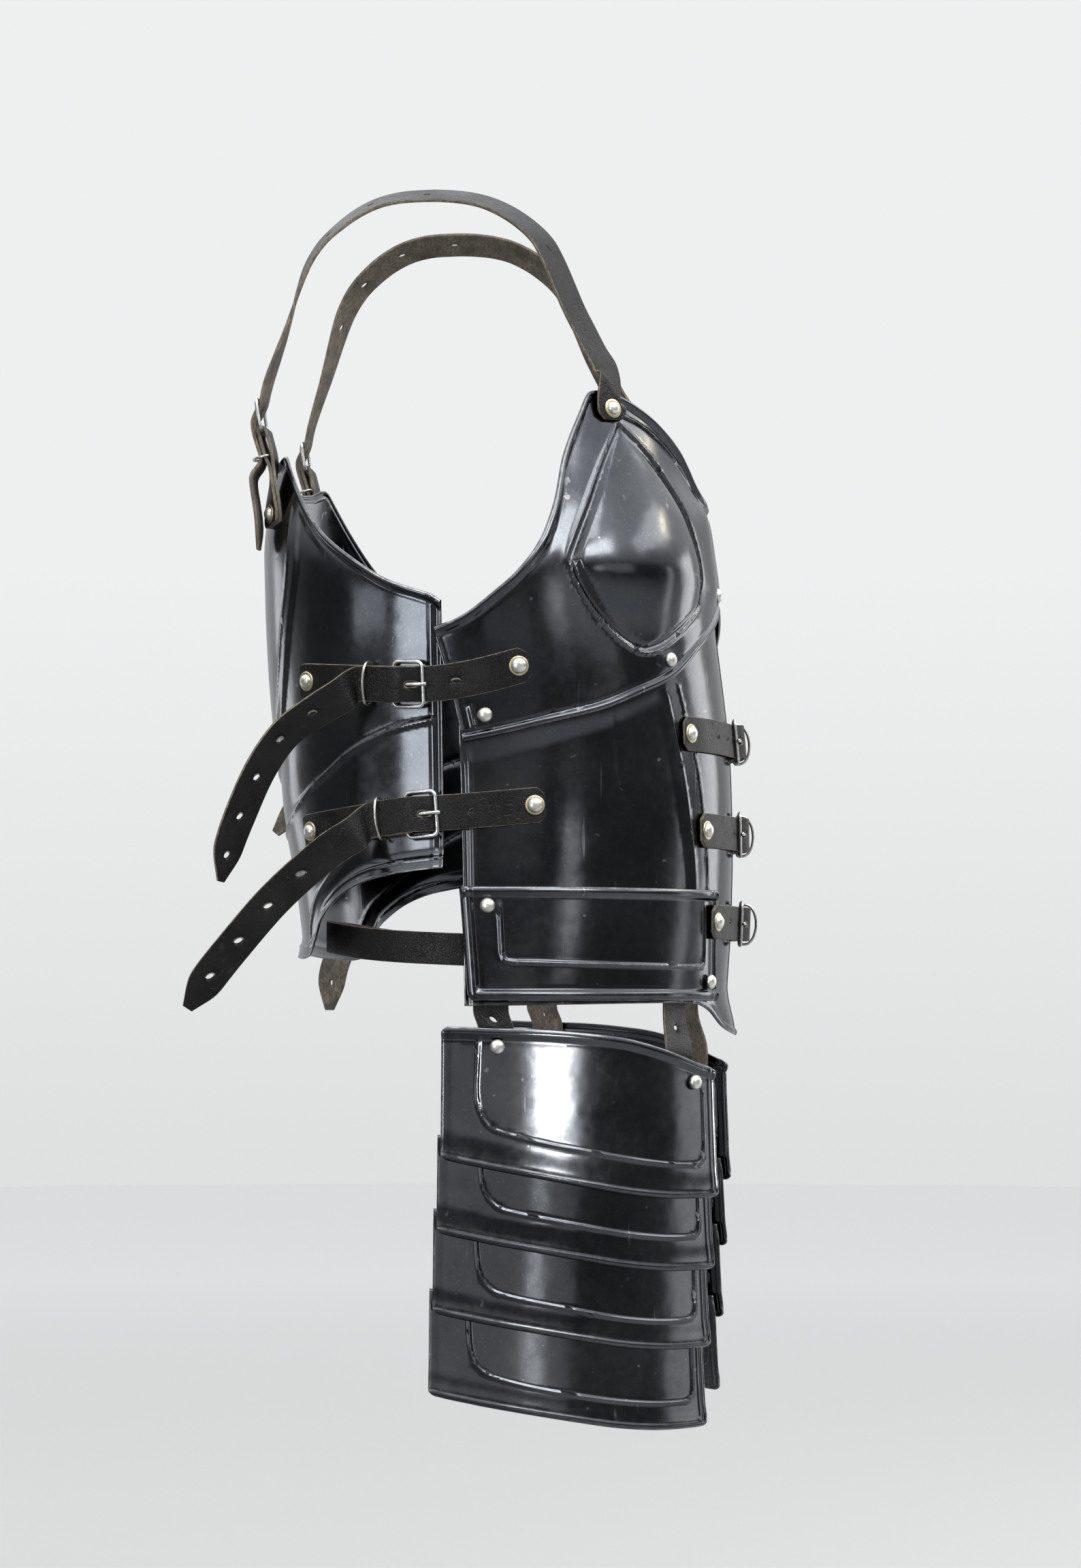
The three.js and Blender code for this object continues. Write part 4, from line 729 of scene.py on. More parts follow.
# Lames of the thigh guards
LAME_PITCH, LAME_LAP, LAME_DROP = 48.5, 15.0, 27.0
LAMES = [(194.4, 81.0), (194.4 - .93 * LAME_PITCH, .93 * LAME_PITCH + LAME_LAP),
         (194.4 - 1.94 * LAME_PITCH, 1.01 * LAME_PITCH + LAME_LAP),
         (194.4 - 2.97 * LAME_PITCH, 1.03 * LAME_PITCH + LAME_LAP)]
LAME_PARTS = [0, .03, .06, .13, .17, .32, .47, .62, .77, .91, 1]
LAME_DROPS = [0, .04, .09, .19, .25, .45, .65, .84, .96, 1, 1]
LAME_CROWNS = [0, 0, 0, .02, .03, .06, .14, .27, .53, .84, 1]
LAME_RIDGES = [
    [(22.8, 78), (22.4, 64), (21.8, 47), (23, 36), (26.5, 29), (32, 25), (45, 23.2), (68, 22.2), (115, 22),
     (165, 21), (173, 21.6), (177, 25), (178, 32), (178.2, 66)],
    [(26.0, 66), (26.3, 54), (26.8, 44), (28.2, 34), (31.4, 27.6), (38, 23), (50, 21.8), (80, 21.4),
     (126, 21), (165, 21), (173, 21.8), (176.6, 25), (177.4, 32), (177.6, 60)],
    [(26.2, 66), (26.4, 54), (26.8, 42), (28.4, 31), (31.6, 24.8), (37.5, 21), (50, 19.4), (82, 18.5),
     (128, 17.6), (166, 18), (173, 19), (176.6, 22), (177.4, 30), (177.6, 62)],
    [(24.2, 62), (24.8, 40), (26.6, 29), (30, 23.4), (36, 20), (48, 18), (71, 16.6), (115, 16.6),
     (168, 16.8), (175, 18), (178, 22), (178.6, 30), (178.8, 62)],
]
LAME_HEM_ROLL = [(0, .1), (.4, .95), (1.1, 1.7), (2.1, 2.1), (3.1, 1.95), (4.1, 1.45), (5, 1.25),
                 (6.5, 1.15), (9, .9), (12, .55), (15, .22), (18, .03), (20, 0)]
LAME_TOP_ROLL = [(0, .2), (.5, .6), (1.6, 1.1), (3.2, 1.4), (5, 1.1), (6.2, .45), (7, 0), (8, -.15), (9.5, 0)]
LAME_CORNER, LAME_TOP_CORNER = 4.5, 3.5


def lame_place_for(number):
    hem_corner, tall = LAMES[number]
    ridge_line = smooth_line(LAME_RIDGES[number], 5, 1)

    def place(column, row):
        drop = through(LAME_PARTS, LAME_DROPS, column)
        fall = through(LAME_PARTS, LAME_CROWNS, column) if number == 0 else drop
        low, high = hem_corner - LAME_DROP * drop, hem_corner + tall - LAME_DROP * fall
        along, over, gap = rounded_corner(column * LAME_SPAN, row * (high - low), LAME_CORNER)
        far_along, over, far_gap = rounded_corner(LAME_SPAN - along, over, LAME_CORNER)
        along = LAME_SPAN - far_along
        low_gap = np.minimum(gap, far_gap)
        if number == 0:
            under = high - low - over
            along, under, _ = rounded_corner(along, under, LAME_CORNER)
            far_along, under, _ = rounded_corner(LAME_SPAN - along, under, LAME_TOP_CORNER)
            along, over = LAME_SPAN - far_along, high - low - under
        up_gap = high - low - over
        t = over / (high - low)
        turn = LAME_BACK - np.degrees(along / LAME_RADIUS)
        ridge, _ = from_line(along, over, ridge_line)
        fade = ramp(5, 8, up_gap)
        flat = 1 - ramp(.8, 1, t) if number else 1.0
        lift = -SHEET + 2.6 * (1 - ramp(0, 1, t)) + .75 * flat
        lift += section(LAME_HEM_ROLL, over)
        lift += (.45 * section(LIP, along) + .4 * hump(along - 7, 3.2)) * ramp(2, 6, over) * flat
        lift += (section(LIP, far_along) + .5 * hump(far_along - 5, 1.4)) * ramp(2, 6, over) * flat
        lift += .95 * hump(ridge, 1.2) * fade
        if number == 0:
            lift += section(LAME_TOP_ROLL, up_gap)
        wear = .55 * hump(low_gap - .4, .6) + .16 * hump(over - 4.6, 1.8) + .08 * hump(over - 9, .9)
        wear += .35 * hump(along - .4, .5) + .08 * hump(ridge, .8) * fade + .3 * hump(far_along - .4, .5)
        if number == 0:
            wear += .55 * hump(up_gap - .4, .6) + .1 * hump(up_gap - 6.4, .8)
        skin = lame_skin(number)
        height = low + over
        return on_skin(skin, turn, height, lift), normal_of(skin, turn, height), np.clip(wear, 0, 1)
    return place


# Leathers
def eased(xs, ys, at):
    """A curve through a table that never swings past its rows."""
    xs, ys = np.asarray(xs, float), np.asarray(ys, float)
    span = np.diff(xs)
    step = np.diff(ys) / span
    slopes = np.zeros(len(xs))
    for i in range(1, len(xs) - 1):
        if step[i - 1] * step[i] > 0:
            slopes[i] = 2 * step[i - 1] * step[i] / (step[i - 1] + step[i])
    slopes[0], slopes[-1] = step[0], step[-1]
    i = np.clip(np.searchsorted(xs, at, side="right") - 1, 0, len(xs) - 2)
    t = np.clip((at - xs[i]) / span[i], 0, 1)
    return ((2 * t ** 3 - 3 * t ** 2 + 1) * ys[i] + (t ** 3 - 2 * t ** 2 + t) * slopes[i] * span[i]
            + (3 * t ** 2 - 2 * t ** 3) * ys[i + 1] + (t ** 3 - t ** 2) * slopes[i + 1] * span[i])


STRAP_WIDE = 22.0
HOLE = 2.6
HOLE_EDGE = .55
STRAP_STEP = 5.2
ACROSS = np.array([-1, -.94, -.62, -.125, .125, .62, .94, 1]) / 2
MIDDLE_COLUMNS = (3, 4)


def leather(name, nodes, stations, holes=(), slots=(), flip=False):
    """A band of leather through stations of (place, across, width), with punched holes and open slots
    given in millimetres along it."""
    at = np.array([station[0] for station in stations], float)
    across = np.array([station[1] for station in stations], float)
    wide = np.array([station[2] for station in stations], float)
    run = run_along(at)
    marks = {0.0, .5, run[-1] - .5, run[-1]}
    for hole in holes:
        marks |= {hole - HOLE, hole + HOLE}
    for low, high in slots:
        marks |= {low, high}
    marks |= {float(mark) for mark in run[1:-1] if min(abs(mark - other) for other in marks) > .9}
    marks = sorted(marks)
    places = [marks[0]]
    for low, high in zip(marks[:-1], marks[1:]):
        count = max(1, int(round((high - low) / STRAP_STEP)))
        places.extend(np.linspace(low, high, count + 1)[1:])
    places = np.array(places)

    bm = bmesh.new()
    bmesh.ops.create_grid(bm, x_segments=len(places) - 1, y_segments=len(ACROSS) - 1, size=.5)
    grid = np.array([vert.co[:] for vert in bm.verts])
    i = np.rint((grid[:, 0] + .5) * (len(places) - 1)).astype(int)
    j = np.rint((grid[:, 1] + .5) * (len(ACROSS) - 1)).astype(int)
    centre = np.stack([eased(run, at[:, k], places) for k in range(3)], -1)
    side = np.stack([eased(run, across[:, k], places) for k in range(3)], -1)
    side /= np.linalg.norm(side, axis=1, keepdims=True)
    width = eased(run, wide, places)
    middle = np.isin(j, MIDDLE_COLUMNS)
    offset = ACROSS[j] * np.where(middle, STRAP_WIDE, width[i])
    points = row_frame(centre[i] + side[i] * offset[:, None])
    worn = bm.verts.layers.float.new("wear")
    for vert, point, column in zip(bm.verts, points, j):
        vert.co = point
        vert[worn] = float(column in (0, len(ACROSS) - 1))
    bm.verts.index_update()
    punched, opened = [], []
    for face in bm.faces:
        corners = [vert.index for vert in face.verts]
        if not middle[corners].all():
            continue
        low, high = places[i[corners]].min(), places[i[corners]].max()
        if any(abs(low - hole + HOLE) < .01 and abs(high - hole - HOLE) < .01 for hole in holes):
            punched.append(face)
        elif any(low > start - .01 and high < end + .01 for start, end in slots):
            opened.append(face)
    bmesh.ops.inset_individual(bm, faces=punched, thickness=HOLE_EDGE * MM, use_even_offset=True)
    bmesh.ops.delete(bm, geom=punched + opened, context="FACES")
    if flip:
        bmesh.ops.reverse_faces(bm, faces=bm.faces[:])
    mesh = bpy.data.meshes.new(name)
    bm.to_mesh(mesh)
    bm.free()
    smooth_faces(mesh)
    piece = put_up(name, mesh, [HIDE, CUT], nodes)
    wall = walled(piece, LEATHER, 0)
    wall.material_offset = wall.material_offset_rim = 1
    softened = piece.modifiers.new("softened", "SUBSURF")
    softened.levels = softened.render_levels = 2


# Metal fittings
TURNED_STEPS = 28


def ring_of(bm, centre, normal, across, wide, deep, sides):
    normal = Vector(normal).normalized()
    across = Vector(across)
    across = (across - normal * across.dot(normal)).normalized()
    other = normal.cross(across)
    made = bmesh.ops.create_circle(bm, cap_ends=False, segments=sides, radius=1.0)["verts"]
    for vert in made:
        angle = math.atan2(vert.co.y, vert.co.x)
        vert.co = Vector(centre) + across * (wide * math.cos(angle)) + other * (deep * math.sin(angle))
    return list({edge for vert in made for edge in vert.link_edges})


def tube(bm, path, across, wide, deep, sides=12, closed=False):
    """A bar of oval section drawn along a path."""
    path = [Vector(row_frame(point)) for point in path]
    count = len(path)
    rings = []
    for i, point in enumerate(path):
        before = path[(i - 1) % count] if closed or i else point
        after = path[(i + 1) % count] if closed or i + 1 < count else point
        side = across[i] if isinstance(across, list) else across
        rings.append(ring_of(bm, point, after - before, side, wide * MM / 2, deep * MM / 2, sides))
    pairs = list(zip(rings, rings[1:] + rings[:1])) if closed else list(zip(rings[:-1], rings[1:]))
    for first, second in pairs:
        bmesh.ops.bridge_loops(bm, edges=first + second)
    if not closed:
        for ring in (rings[0], rings[-1]):
            bmesh.ops.contextual_create(bm, geom=ring)
    bmesh.ops.recalc_face_normals(bm, faces=bm.faces[:])


def turned_piece(bm, at, normal, outline):
    """A turned form: outline of (radius, height) spun about an axis through the point."""
    normal = Vector(normal).normalized()
    basis = normal.to_track_quat("Z", "Y").to_matrix().to_4x4()
    place = Matrix.Translation(Vector(row_frame(at))) @ basis
    verts = [bm.verts.new((radius * MM, 0, high * MM)) for radius, high in outline]
    edges = [bm.edges.new(pair) for pair in zip(verts[:-1], verts[1:])]
    made = bmesh.ops.spin(bm, geom=verts + edges, cent=(0, 0, 0), axis=(0, 0, 1), angle=2 * math.pi,
                          steps=TURNED_STEPS, use_merge=True, dvec=(0, 0, 0))
    grown = set(verts) | {item for item in made["geom_last"] if isinstance(item, bmesh.types.BMVert)}
    queue = list(grown)
    while queue:
        for edge in queue.pop().link_edges:
            for vert in edge.verts:
                if vert not in grown:
                    grown.add(vert)
                    queue.append(vert)
    bmesh.ops.transform(bm, matrix=place, verts=list(grown))


def hardware(name, nodes, material, build):
    """A metal piece, or a set of them, that build makes in an empty bmesh."""
    bm = bmesh.new()
    build(bm)
    bmesh.ops.remove_doubles(bm, verts=bm.verts[:], dist=.00001)
    bmesh.ops.recalc_face_normals(bm, faces=bm.faces[:])
    mesh = bpy.data.meshes.new(name)
    bm.to_mesh(mesh)
    bm.free()
    smooth_faces(mesh)
    put_up(name, mesh, [material], nodes)


# Outlines of (radius, height) of a rivet's domed head and of the washer under it
DOME_OUTLINE = [(0, 3.1), (1.2, 3.03), (2.3, 2.78), (3.3, 2.3), (4.1, 1.62), (4.6, .9), (4.85, .2),
                (4.85, -.9), (0, -.9)]
WASHER_OUTLINE = [(3.2, -.2), (3.4, .62), (4.4, .78), (5.6, .74), (6.05, .5), (6.2, .1), (6.2, -.3),
                  (3.2, -.3)]


def dome(share_of):
    return [(radius * share_of, high) for radius, high in DOME_OUTLINE]


# Lines that the buckled straps lie along
RING_WIRE = 1.8
RING_AT = 15.0
RING_RISE = 15.0
END_LAP = 7.0
FRAME_LONG = 19.0
FRAME_WIDE = 30.0
WIRE = 2.4
RING_WIDE = 28.0
SEAT = .25
LOWER = CLEAR + SEAT + LEATHER / 2
BAR = LOWER + LEATHER / 2 + CLEAR / 2 + WIRE / 2
WRAP = BAR + WIRE / 2 + CLEAR / 2 + LEATHER / 2
OVER = WRAP + LEATHER + CLEAR
PAIR = LOWER + LEATHER + CLEAR
RING_LOW = LOWER + LEATHER / 2 + CLEAR + RING_WIRE / 2
RING_CHAPE = RING_LOW + RING_WIRE / 2 + CLEAR + LEATHER / 2
RING_STRAP = RING_CHAPE + LEATHER + CLEAR
UNDER = LOWER + LEATHER * .6
FAR_BAR = UNDER + LEATHER / 2 + CLEAR + WIRE / 2


def unit(vector):
    return vector / np.linalg.norm(vector)


class StrapLine:
    """The line of a strap from the chape's rivet to its own rivet; millimetres count from the hinge bar."""

    def __init__(self, rows, hinge, hand=1):
        fine = 3
        steps = (len(rows) - 1) * fine
        table = np.array([np.concatenate([at, out]) for at, out in rows])
        index = np.arange(len(rows))
        read = np.stack([through(index, table[:, k], np.arange(steps + 1) / fine) for k in range(6)], -1)
        self.at, self.out = read[:, :3], read[:, 3:]
        run = run_along(self.at)
        self.mm = run - run[hinge * fine]
        self.start, self.end = self.mm[0], self.mm[-1]
        self.hand = np.array([hand, 1, 1])

    def frame(self, mm):
        k = int(np.clip(np.searchsorted(self.mm, mm, side="right") - 1, 0, len(self.mm) - 2))
        t = (mm - self.mm[k]) / (self.mm[k + 1] - self.mm[k])
        at = self.at[k] + (self.at[k + 1] - self.at[k]) * t
        along = unit(self.at[k + 1] - self.at[k])
        out = self.out[k] + (self.out[k + 1] - self.out[k]) * min(1, max(0, t))
        out = unit(out - along * np.dot(out, along))
        return at, along, out, np.cross(along, out)

    def spot(self, mm, lift, wide=STRAP_WIDE):
        at, _, out, across = self.frame(mm)
        return (at + out * lift) * self.hand, across * self.hand, wide

    def place(self, x, y, z):
        at, _, out, across = self.frame(x)
        return (at + across * y + out * z) * self.hand


def evenly(start, end):
    count = max(1, round(abs(end - start) / 16))
    return [start + (end - start) * k / count for k in range(count)]


def buckled(name, line, tail, strap_holes, tail_holes=(), front_radius=.96):
    """One buckled strap with its chape, frame, ring and rivets."""
    first = line.end + END_LAP
    stations = [line.spot(first - back, LOWER, STRAP_WIDE * wide)
                for back, wide in ((0, .6), (.7, .66), (4.2, .97), (5.2, 1))]
    stations += [line.spot(mm, LOWER) for mm in evenly(line.end, FRAME_LONG + 14)]
    near = [(FRAME_LONG + 8, (LOWER + UNDER) / 2), (FRAME_LONG, UNDER), (5.6, OVER + .9), (-8, OVER + .2),
            (-RING_AT, RING_STRAP), (-RING_AT - 6, RING_STRAP + 1)]
    stations += [line.spot(mm, lift) for mm, lift in near]
    free_from = len(stations)
    stations += tail
    run = run_along([station[0] for station in stations])
    holes = [first - mm for mm in strap_holes] + [run[free_from] + mm for mm in tail_holes]
    holes = [hole for hole in holes if hole > 0]
    bar_run = run[free_from - 4]
    slot = (bar_run - 11.5, bar_run - 3.4)
    flip = line.hand[0] < 0
    leather(f"leather_{name}", [f"strap_{name}"], stations, holes, [slot], flip)

    bend_round = (WRAP - BAR) + .1
    across = line.frame(0)[3] * line.hand
    lap = line.start - END_LAP
    lower = [line.spot(lap, LOWER, STRAP_WIDE * .8), line.spot(lap + 3, LOWER)]
    lower += [line.spot(mm, LOWER) for mm in evenly(lap + 12, -3)] + [line.spot(-1.5, LOWER)]
    bend = []
    for angle in (22, 50, 78, 106, 134, 158):
        turn = math.radians(angle)
        bend.append((line.place(bend_round * math.sin(turn), 0, BAR - bend_round * math.cos(turn)),
                     across, STRAP_WIDE))
    upper = [line.spot(-2.5, WRAP + .1), line.spot(-8, WRAP), line.spot(-RING_AT, RING_CHAPE),
             line.spot(-RING_AT - 10, PAIR)]
    upper += [line.spot(mm, PAIR) for mm in evenly(lap, -RING_AT - 14)[::-1][:-1]]
    upper += [line.spot(lap + 3, PAIR), line.spot(lap, PAIR, STRAP_WIDE * .8)]
    chape = lower + bend + upper
    run = run_along([station[0] for station in chape])
    slot = (run[len(lower) + 1], run[len(lower) + len(bend)] + 1.0)
    leather(f"leather_chape_{name}", [f"chape_{name}"], chape, [], [slot], flip)

    slope = (FAR_BAR - BAR) / FRAME_LONG

    def cast_frame(bm):
        half = (FRAME_WIDE - WIRE) / 2
        corner = 3.6
        outline = []
        for cx, cy, start in ((FRAME_LONG - corner, half - corner, 0), (corner, half - corner, 90),
                              (corner, corner - half, 180), (FRAME_LONG - corner, corner - half, 270)):
            for k in range(6):
                angle = math.radians(start + 18 * k)
                outline.append((cx + corner * math.cos(angle), cy + corner * math.sin(angle)))
        dense = []
        for (ax, ay), (bx, by) in zip(outline, outline[1:] + outline[:1]):
            gap = math.hypot(bx - ax, by - ay)
            count = max(1, round(gap / 3.5))
            dense += [(ax + (bx - ax) * k / count, ay + (by - ay) * k / count) for k in range(count)]
        path = [line.place(x, y, BAR + slope * x) for x, y in dense]
        sides = [Vector(line.frame(x)[2] * line.hand) for x, _ in dense]
        tube(bm, path, sides, WIRE * .92, WIRE * 1.08, 12, True)

    def prong(bm):
        rows = [(-1.2, BAR + 1.0), (1.2, BAR + 2.2), (4, BAR + 2.9), (8, BAR + 2.7), (12, FAR_BAR + 2.6),
                (16, FAR_BAR + 2.3), (FRAME_LONG, FAR_BAR + WIRE / 2 + .95),
                (FRAME_LONG + 1.6, FAR_BAR + WIRE / 2 + .6), (FRAME_LONG + 2.4, FAR_BAR + WIRE / 2 + .35)]
        path = [line.place(x, 0, z) for x, z in rows]
        tube(bm, path, Vector(line.frame(8)[2] * line.hand), 1.9, 2.4, 10)
        loop = [line.place(1.9 * math.cos(a), 0, BAR + 1.9 * math.sin(a))
                for a in np.linspace(0, 2 * math.pi, 13)[:-1]]
        tube(bm, loop, Vector(line.frame(0)[3] * line.hand), 2.3, 1.1, 8, True)

    def buckle(bm):
        cast_frame(bm)
        prong(bm)

    def keeper(bm):
        at, along, out, across_way = line.frame(-RING_AT)
        half = (RING_WIDE - RING_WIRE) / 2
        outline = [(-.93, 0), (0, 0), (.93, 0), (.98, .035), (1, .1), (1, .3)]
        outline += [(math.cos(a), .36 + .64 * math.sin(a)) for a in np.linspace(.06, math.pi - .06, 15)]
        outline += [(-1, .3), (-1, .1), (-.98, .035)]
        path = [(at + across_way * (y * half) + out * (RING_LOW + z * (RING_RISE - RING_LOW))) * line.hand
                for y, z in outline]
        tube(bm, path, Vector(along * line.hand), RING_WIRE, RING_WIRE, 12, True)

    def at_rivets(bm, proud, front, back):
        for mm, lift, outline in ((line.end, LOWER + LEATHER / 2, front),
                                  (line.start, PAIR + LEATHER / 2, back)):
            at, _, out, _ = line.frame(mm)
            turned_piece(bm, (at + out * (lift + proud)) * line.hand, out * line.hand, outline)

    def rivets(bm):
        at_rivets(bm, .45, dome(front_radius), dome(.9))

    def washers(bm):
        at_rivets(bm, 0, WASHER_OUTLINE, WASHER_OUTLINE)

    hardware(f"frame_{name}", [f"buckle_{name}"], CAST, buckle)
    hardware(f"wire_{name}", [f"ring_{name}"], WIRE_FINISH, keeper)
    hardware(f"rivets_{name}", [], DOME, rivets)
    hardware(f"washers_{name}", [], BRASS, washers)


def trunk_rows(rows):
    return [(on_trunk(turn, up, lift), trunk_normal(turn, up)) for turn, up, lift in rows]


def trunk_line(anchors, chape, hinge, rivet_turn, hand=1):
    """A strap's line round the trunk, from the turns of its chape, hinge and rivet; anchors are rows of
    (turn, share of the trunk's rise, lift)."""
    def turns_between(start, end):
        count = math.ceil(abs(end - start) / 6)
        return [start + (end - start) * k / count for k in range(count)]
    first = turns_between(chape, hinge)
    turns = [*first, *turns_between(hinge, rivet_turn), rivet_turn]
    at, up, lift = np.array(anchors).T
    rows = [(turn, float(through(at, up, turn)), float(through(at, lift, turn))) for turn in turns]
    return StrapLine(trunk_rows(rows), len(first), hand)


SIDE_STRAPS = {
    "upper": (101.5, [(75.2, .582, OUTER_LIFT + .1), (83, .568, OUTER_LIFT + .3), (92, .557, 2),
                      (101.5, .557, .5), (115, .562, 0), (128.2, .568, 0)]),
    "lower": (99.5, [(72.3, .381, -.9), (80, .376, -.7), (90, .37, .7), (99.5, .365, .2), (116, .355, 0),
                     (132.6, .348, 0)]),
}
TAIL_REACH, TAIL_FALL = 120.0, 122.0
# Free ends as rows of: out from the middle, back from the side line, down, width, lean in degrees.
TAILS = {
    "right_upper": [(1.036, .53, .05, 1, 15), (1.048, .66, .13, 1, 30), (1.06, .83, .25, 1, 38),
                    (1.066, .96, .43, 1, 40), (1.066, 1.05, .62, 1, 40), (1.066, 1.13, .83, .92, 40),
                    (1.066, 1.17, 1.0, .2, 40)],
    "right_lower": [(1.026, .48, .09, 1, 8), (1.036, .58, .15, 1, 14), (1.054, .74, .28, 1, 18),
                    (1.066, .9, .43, 1, 20), (1.072, 1.06, .61, 1, 20), (1.078, 1.24, .83, 1, 20),
                    (1.078, 1.34, .97, .3, 20)],
    "left_upper": [(1.036, .55, .04, 1, 10), (1.048, .72, .1, 1, 22), (1.06, .92, .2, 1, 30),
                   (1.06, 1.1, .33, 1, 30), (1.05, 1.28, .49, 1, 30), (1.04, 1.4, .63, .3, 30)],
    "left_lower": [(1.026, .48, .09, 1, 8), (1.036, .62, .19, 1, 14), (1.042, .8, .37, 1, 20),
                   (1.03, .97, .58, 1, 20), (1.0, 1.05, .82, 1, 20), (.98, 1.06, 1.0, .3, 20)],
}
TAIL_HOLES = {"right_upper": (24, 50, 77, 103, 128), "right_lower": (42, 70, 98, 126),
              "left_upper": (28, 56, 84, 112), "left_lower": (34, 62, 90, 118)}


def tail_line(rows, line):
    start = line.frame(0)[0][2]
    spots = [np.array([-out * HALF_WIDTH, SIDE_LINE + back * TAIL_REACH, start - down * TAIL_FALL])
             for out, back, down, _, _ in rows]
    made = []
    for i, (_, _, _, wide, lean) in enumerate(rows):
        along = unit(spots[min(i + 1, len(spots) - 1)] - spots[max(0, i - 1)])
        face = unit(np.array([-1.0, 0, 0]) + along * along[0])
        side = np.cross(face, along)
        side = -side if side[2] < 0 else side
        up = side * math.cos(math.radians(lean)) + face * math.sin(math.radians(lean))
        made.append((spots[i] * line.hand, -up * line.hand, STRAP_WIDE * wide))
    return made


# Make the plates
plate("chest", ["chest_plate"], 176, 54, chest_place)
plate("belly", ["belly_plate"], 168, 92, belly_place)
plate("back", ["back_plate"], 170, 100, back_place)
band_right = plate("band_right", ["hip_band_right"], 66, 26, band_place)
other_side(band_right, "band_left", ["hip_band_left"])
for number in range(len(LAMES)):
    right = plate(f"guard_right_{number + 1}", [f"lame_right_{number + 1}"], 66, 28, lame_place_for(number))
    other_side(right, f"guard_left_{number + 1}", [f"lame_left_{number + 1}"])


# Rivets set in the steel alone
def plate_rivets(bm):
    for turn, up, lift in ((0, .722, 2.4), (35.5, .602, 2.2), (-35.5, .602, 2.2), (82.7, .511, 2.2),
                           (-82.7, .511, 2.2), (82.2, .234, 2.4), (-82.2, .234, 2.4), (22.6, .125, 4.2),
                           (-22.6, .125, 4.2)):
        turned_piece(bm, on_trunk(turn, up, lift + .9), trunk_normal(turn, up), dome(.98))
    skin = lame_skin(0)
    for turn, height in ((82.5, 263), (41, 240)):
        at = on_skin(skin, np.array([turn]), np.array([height]), np.array([1.9]))[0]
        normal = normal_of(skin, np.array([float(turn)]), np.array([float(height)]))[0]
        for hand in (1, -1):
            turned_piece(bm, at * (hand, 1, 1), normal * (hand, 1, 1), dome(.96))


hardware("plate_rivets", [], DOME, plate_rivets)

# Side straps
for hand, hand_name in ((1, "right"), (-1, "left")):
    for level, (hinge, anchors) in SIDE_STRAPS.items():
        line = trunk_line(anchors, anchors[-1][0], hinge, anchors[0][0], hand)
        key = f"{hand_name}_{level}"
        buckled(f"side_{key}", line, tail_line(TAILS[key], line), (line.end - 39.5,), TAIL_HOLES[key],
                front_radius=1.02)

# Belly straps
BELLY_HINGE = -4
for level, turn, up, lift, holes in (("upper", 30.4, .495, 0, (24.1, 15.8, 7.4)),
                                     ("middle", 25, .352, 0, (19.4, 12.5, 5.4)),
                                     ("lower", 21.9, .215, OUTER_LIFT + 2.0, (12.2,))):
    line = trunk_line([(-turn, up, lift), (-.7 * turn, up, lift), (BELLY_HINGE, up, lift * .4),
                       (.3 * turn, up, lift * .5), (.8 * turn, up, lift), (turn, up, lift)],
                      -turn, BELLY_HINGE, turn)
    over = PAIR + LEATHER + CLEAR + SEAT
    tail = [line.spot(mm, over) for mm in evenly(-RING_AT - 14, line.start + 15)]
    tail += [line.spot(line.start + 15, over), line.spot(line.start + 11, over, STRAP_WIDE * .5)]
    marks = [line.end - (turn - at_turn) * 2.66 for at_turn in holes]
    buckled(f"belly_{level}", line, tail, [mark for mark in marks if mark > FRAME_LONG + 6])

# Shoulder straps
LOOP_SPREAD, LOOP_DEEP, LOOP_RISE, LOOP_FRONT, LOOP_LOW = 88.0, 220.0, 140.0, -78.0, 667.0
# The strap's way over the shoulder as rows of: out from the middle, back, up, and where its face looks from.
LOOP = [(.977, .983, -.09, .977), (.977, .99, .064, .977), (.955, .968, .207, .9), (.932, .935, .364, .8),
        (.898, .868, .692, .5), (.85, .786, .85, .3), (.83, .686, .95, .2), (.82, .586, .983, .17),
        (.82, .486, .983, .17), (.82, .389, .963, .17), (.84, .298, .9, .17), (.875, .205, .78, .17),
        (.91, .155, .63, .17), (.94, .11, .46, .17), (.97, .055, .29, .17), (1.0, .015, .17, .17),
        (1.025, -.022, .105, .17)]
loop_rows = []
for spread_out, back_way, up, aim in LOOP:
    at = np.array([-spread_out * LOOP_SPREAD, LOOP_FRONT + back_way * LOOP_DEEP, LOOP_LOW + up * LOOP_RISE])
    out = np.array([(aim - spread_out) * LOOP_SPREAD, (back_way - .51) * LOOP_DEEP, (up - .24) * LOOP_RISE])
    loop_rows.append((at, unit(out)))
rise_off = trunk_rows([(148, .828, 0), (147.9, .852, 2), (147.8, .878, 4.2), (147.5, .912, 8)])
rise_off = [(at, unit(out * (1 - i / 3) + np.array([0, 1.0, 0]) * i / 3))
            for i, (at, out) in enumerate(rise_off)]
to_front_rivet = trunk_rows([(48, 1.005, OUTER_LIFT + 3.6), (47.6, .992, OUTER_LIFT + 3.0),
                             (47.1, .974, OUTER_LIFT + 1.4)])
shoulder_rows = rise_off + loop_rows + to_front_rivet
for hand, hand_name in ((1, "right"), (-1, "left")):
    line = StrapLine(shoulder_rows, len(rise_off), hand)
    tail = [(np.array([-LOOP_SPREAD, LOOP_FRONT + back_way * LOOP_DEEP, LOOP_LOW + up * LOOP_RISE]) * line.hand,
             np.array([-1.0, 0, 0]) * line.hand, STRAP_WIDE * wide)
            for back_way, up, wide in ((1.035, -.3, 1), (1.024, -.42, 1), (1.016, -.53, .95),
                                       (1.018, -.63, .25))]
    marks = [line.end * share_of for share_of in (.72, .5, .41, .33, .25)]
    buckled(f"shoulder_{hand_name}", line, tail, marks, (10,), front_radius=.9)


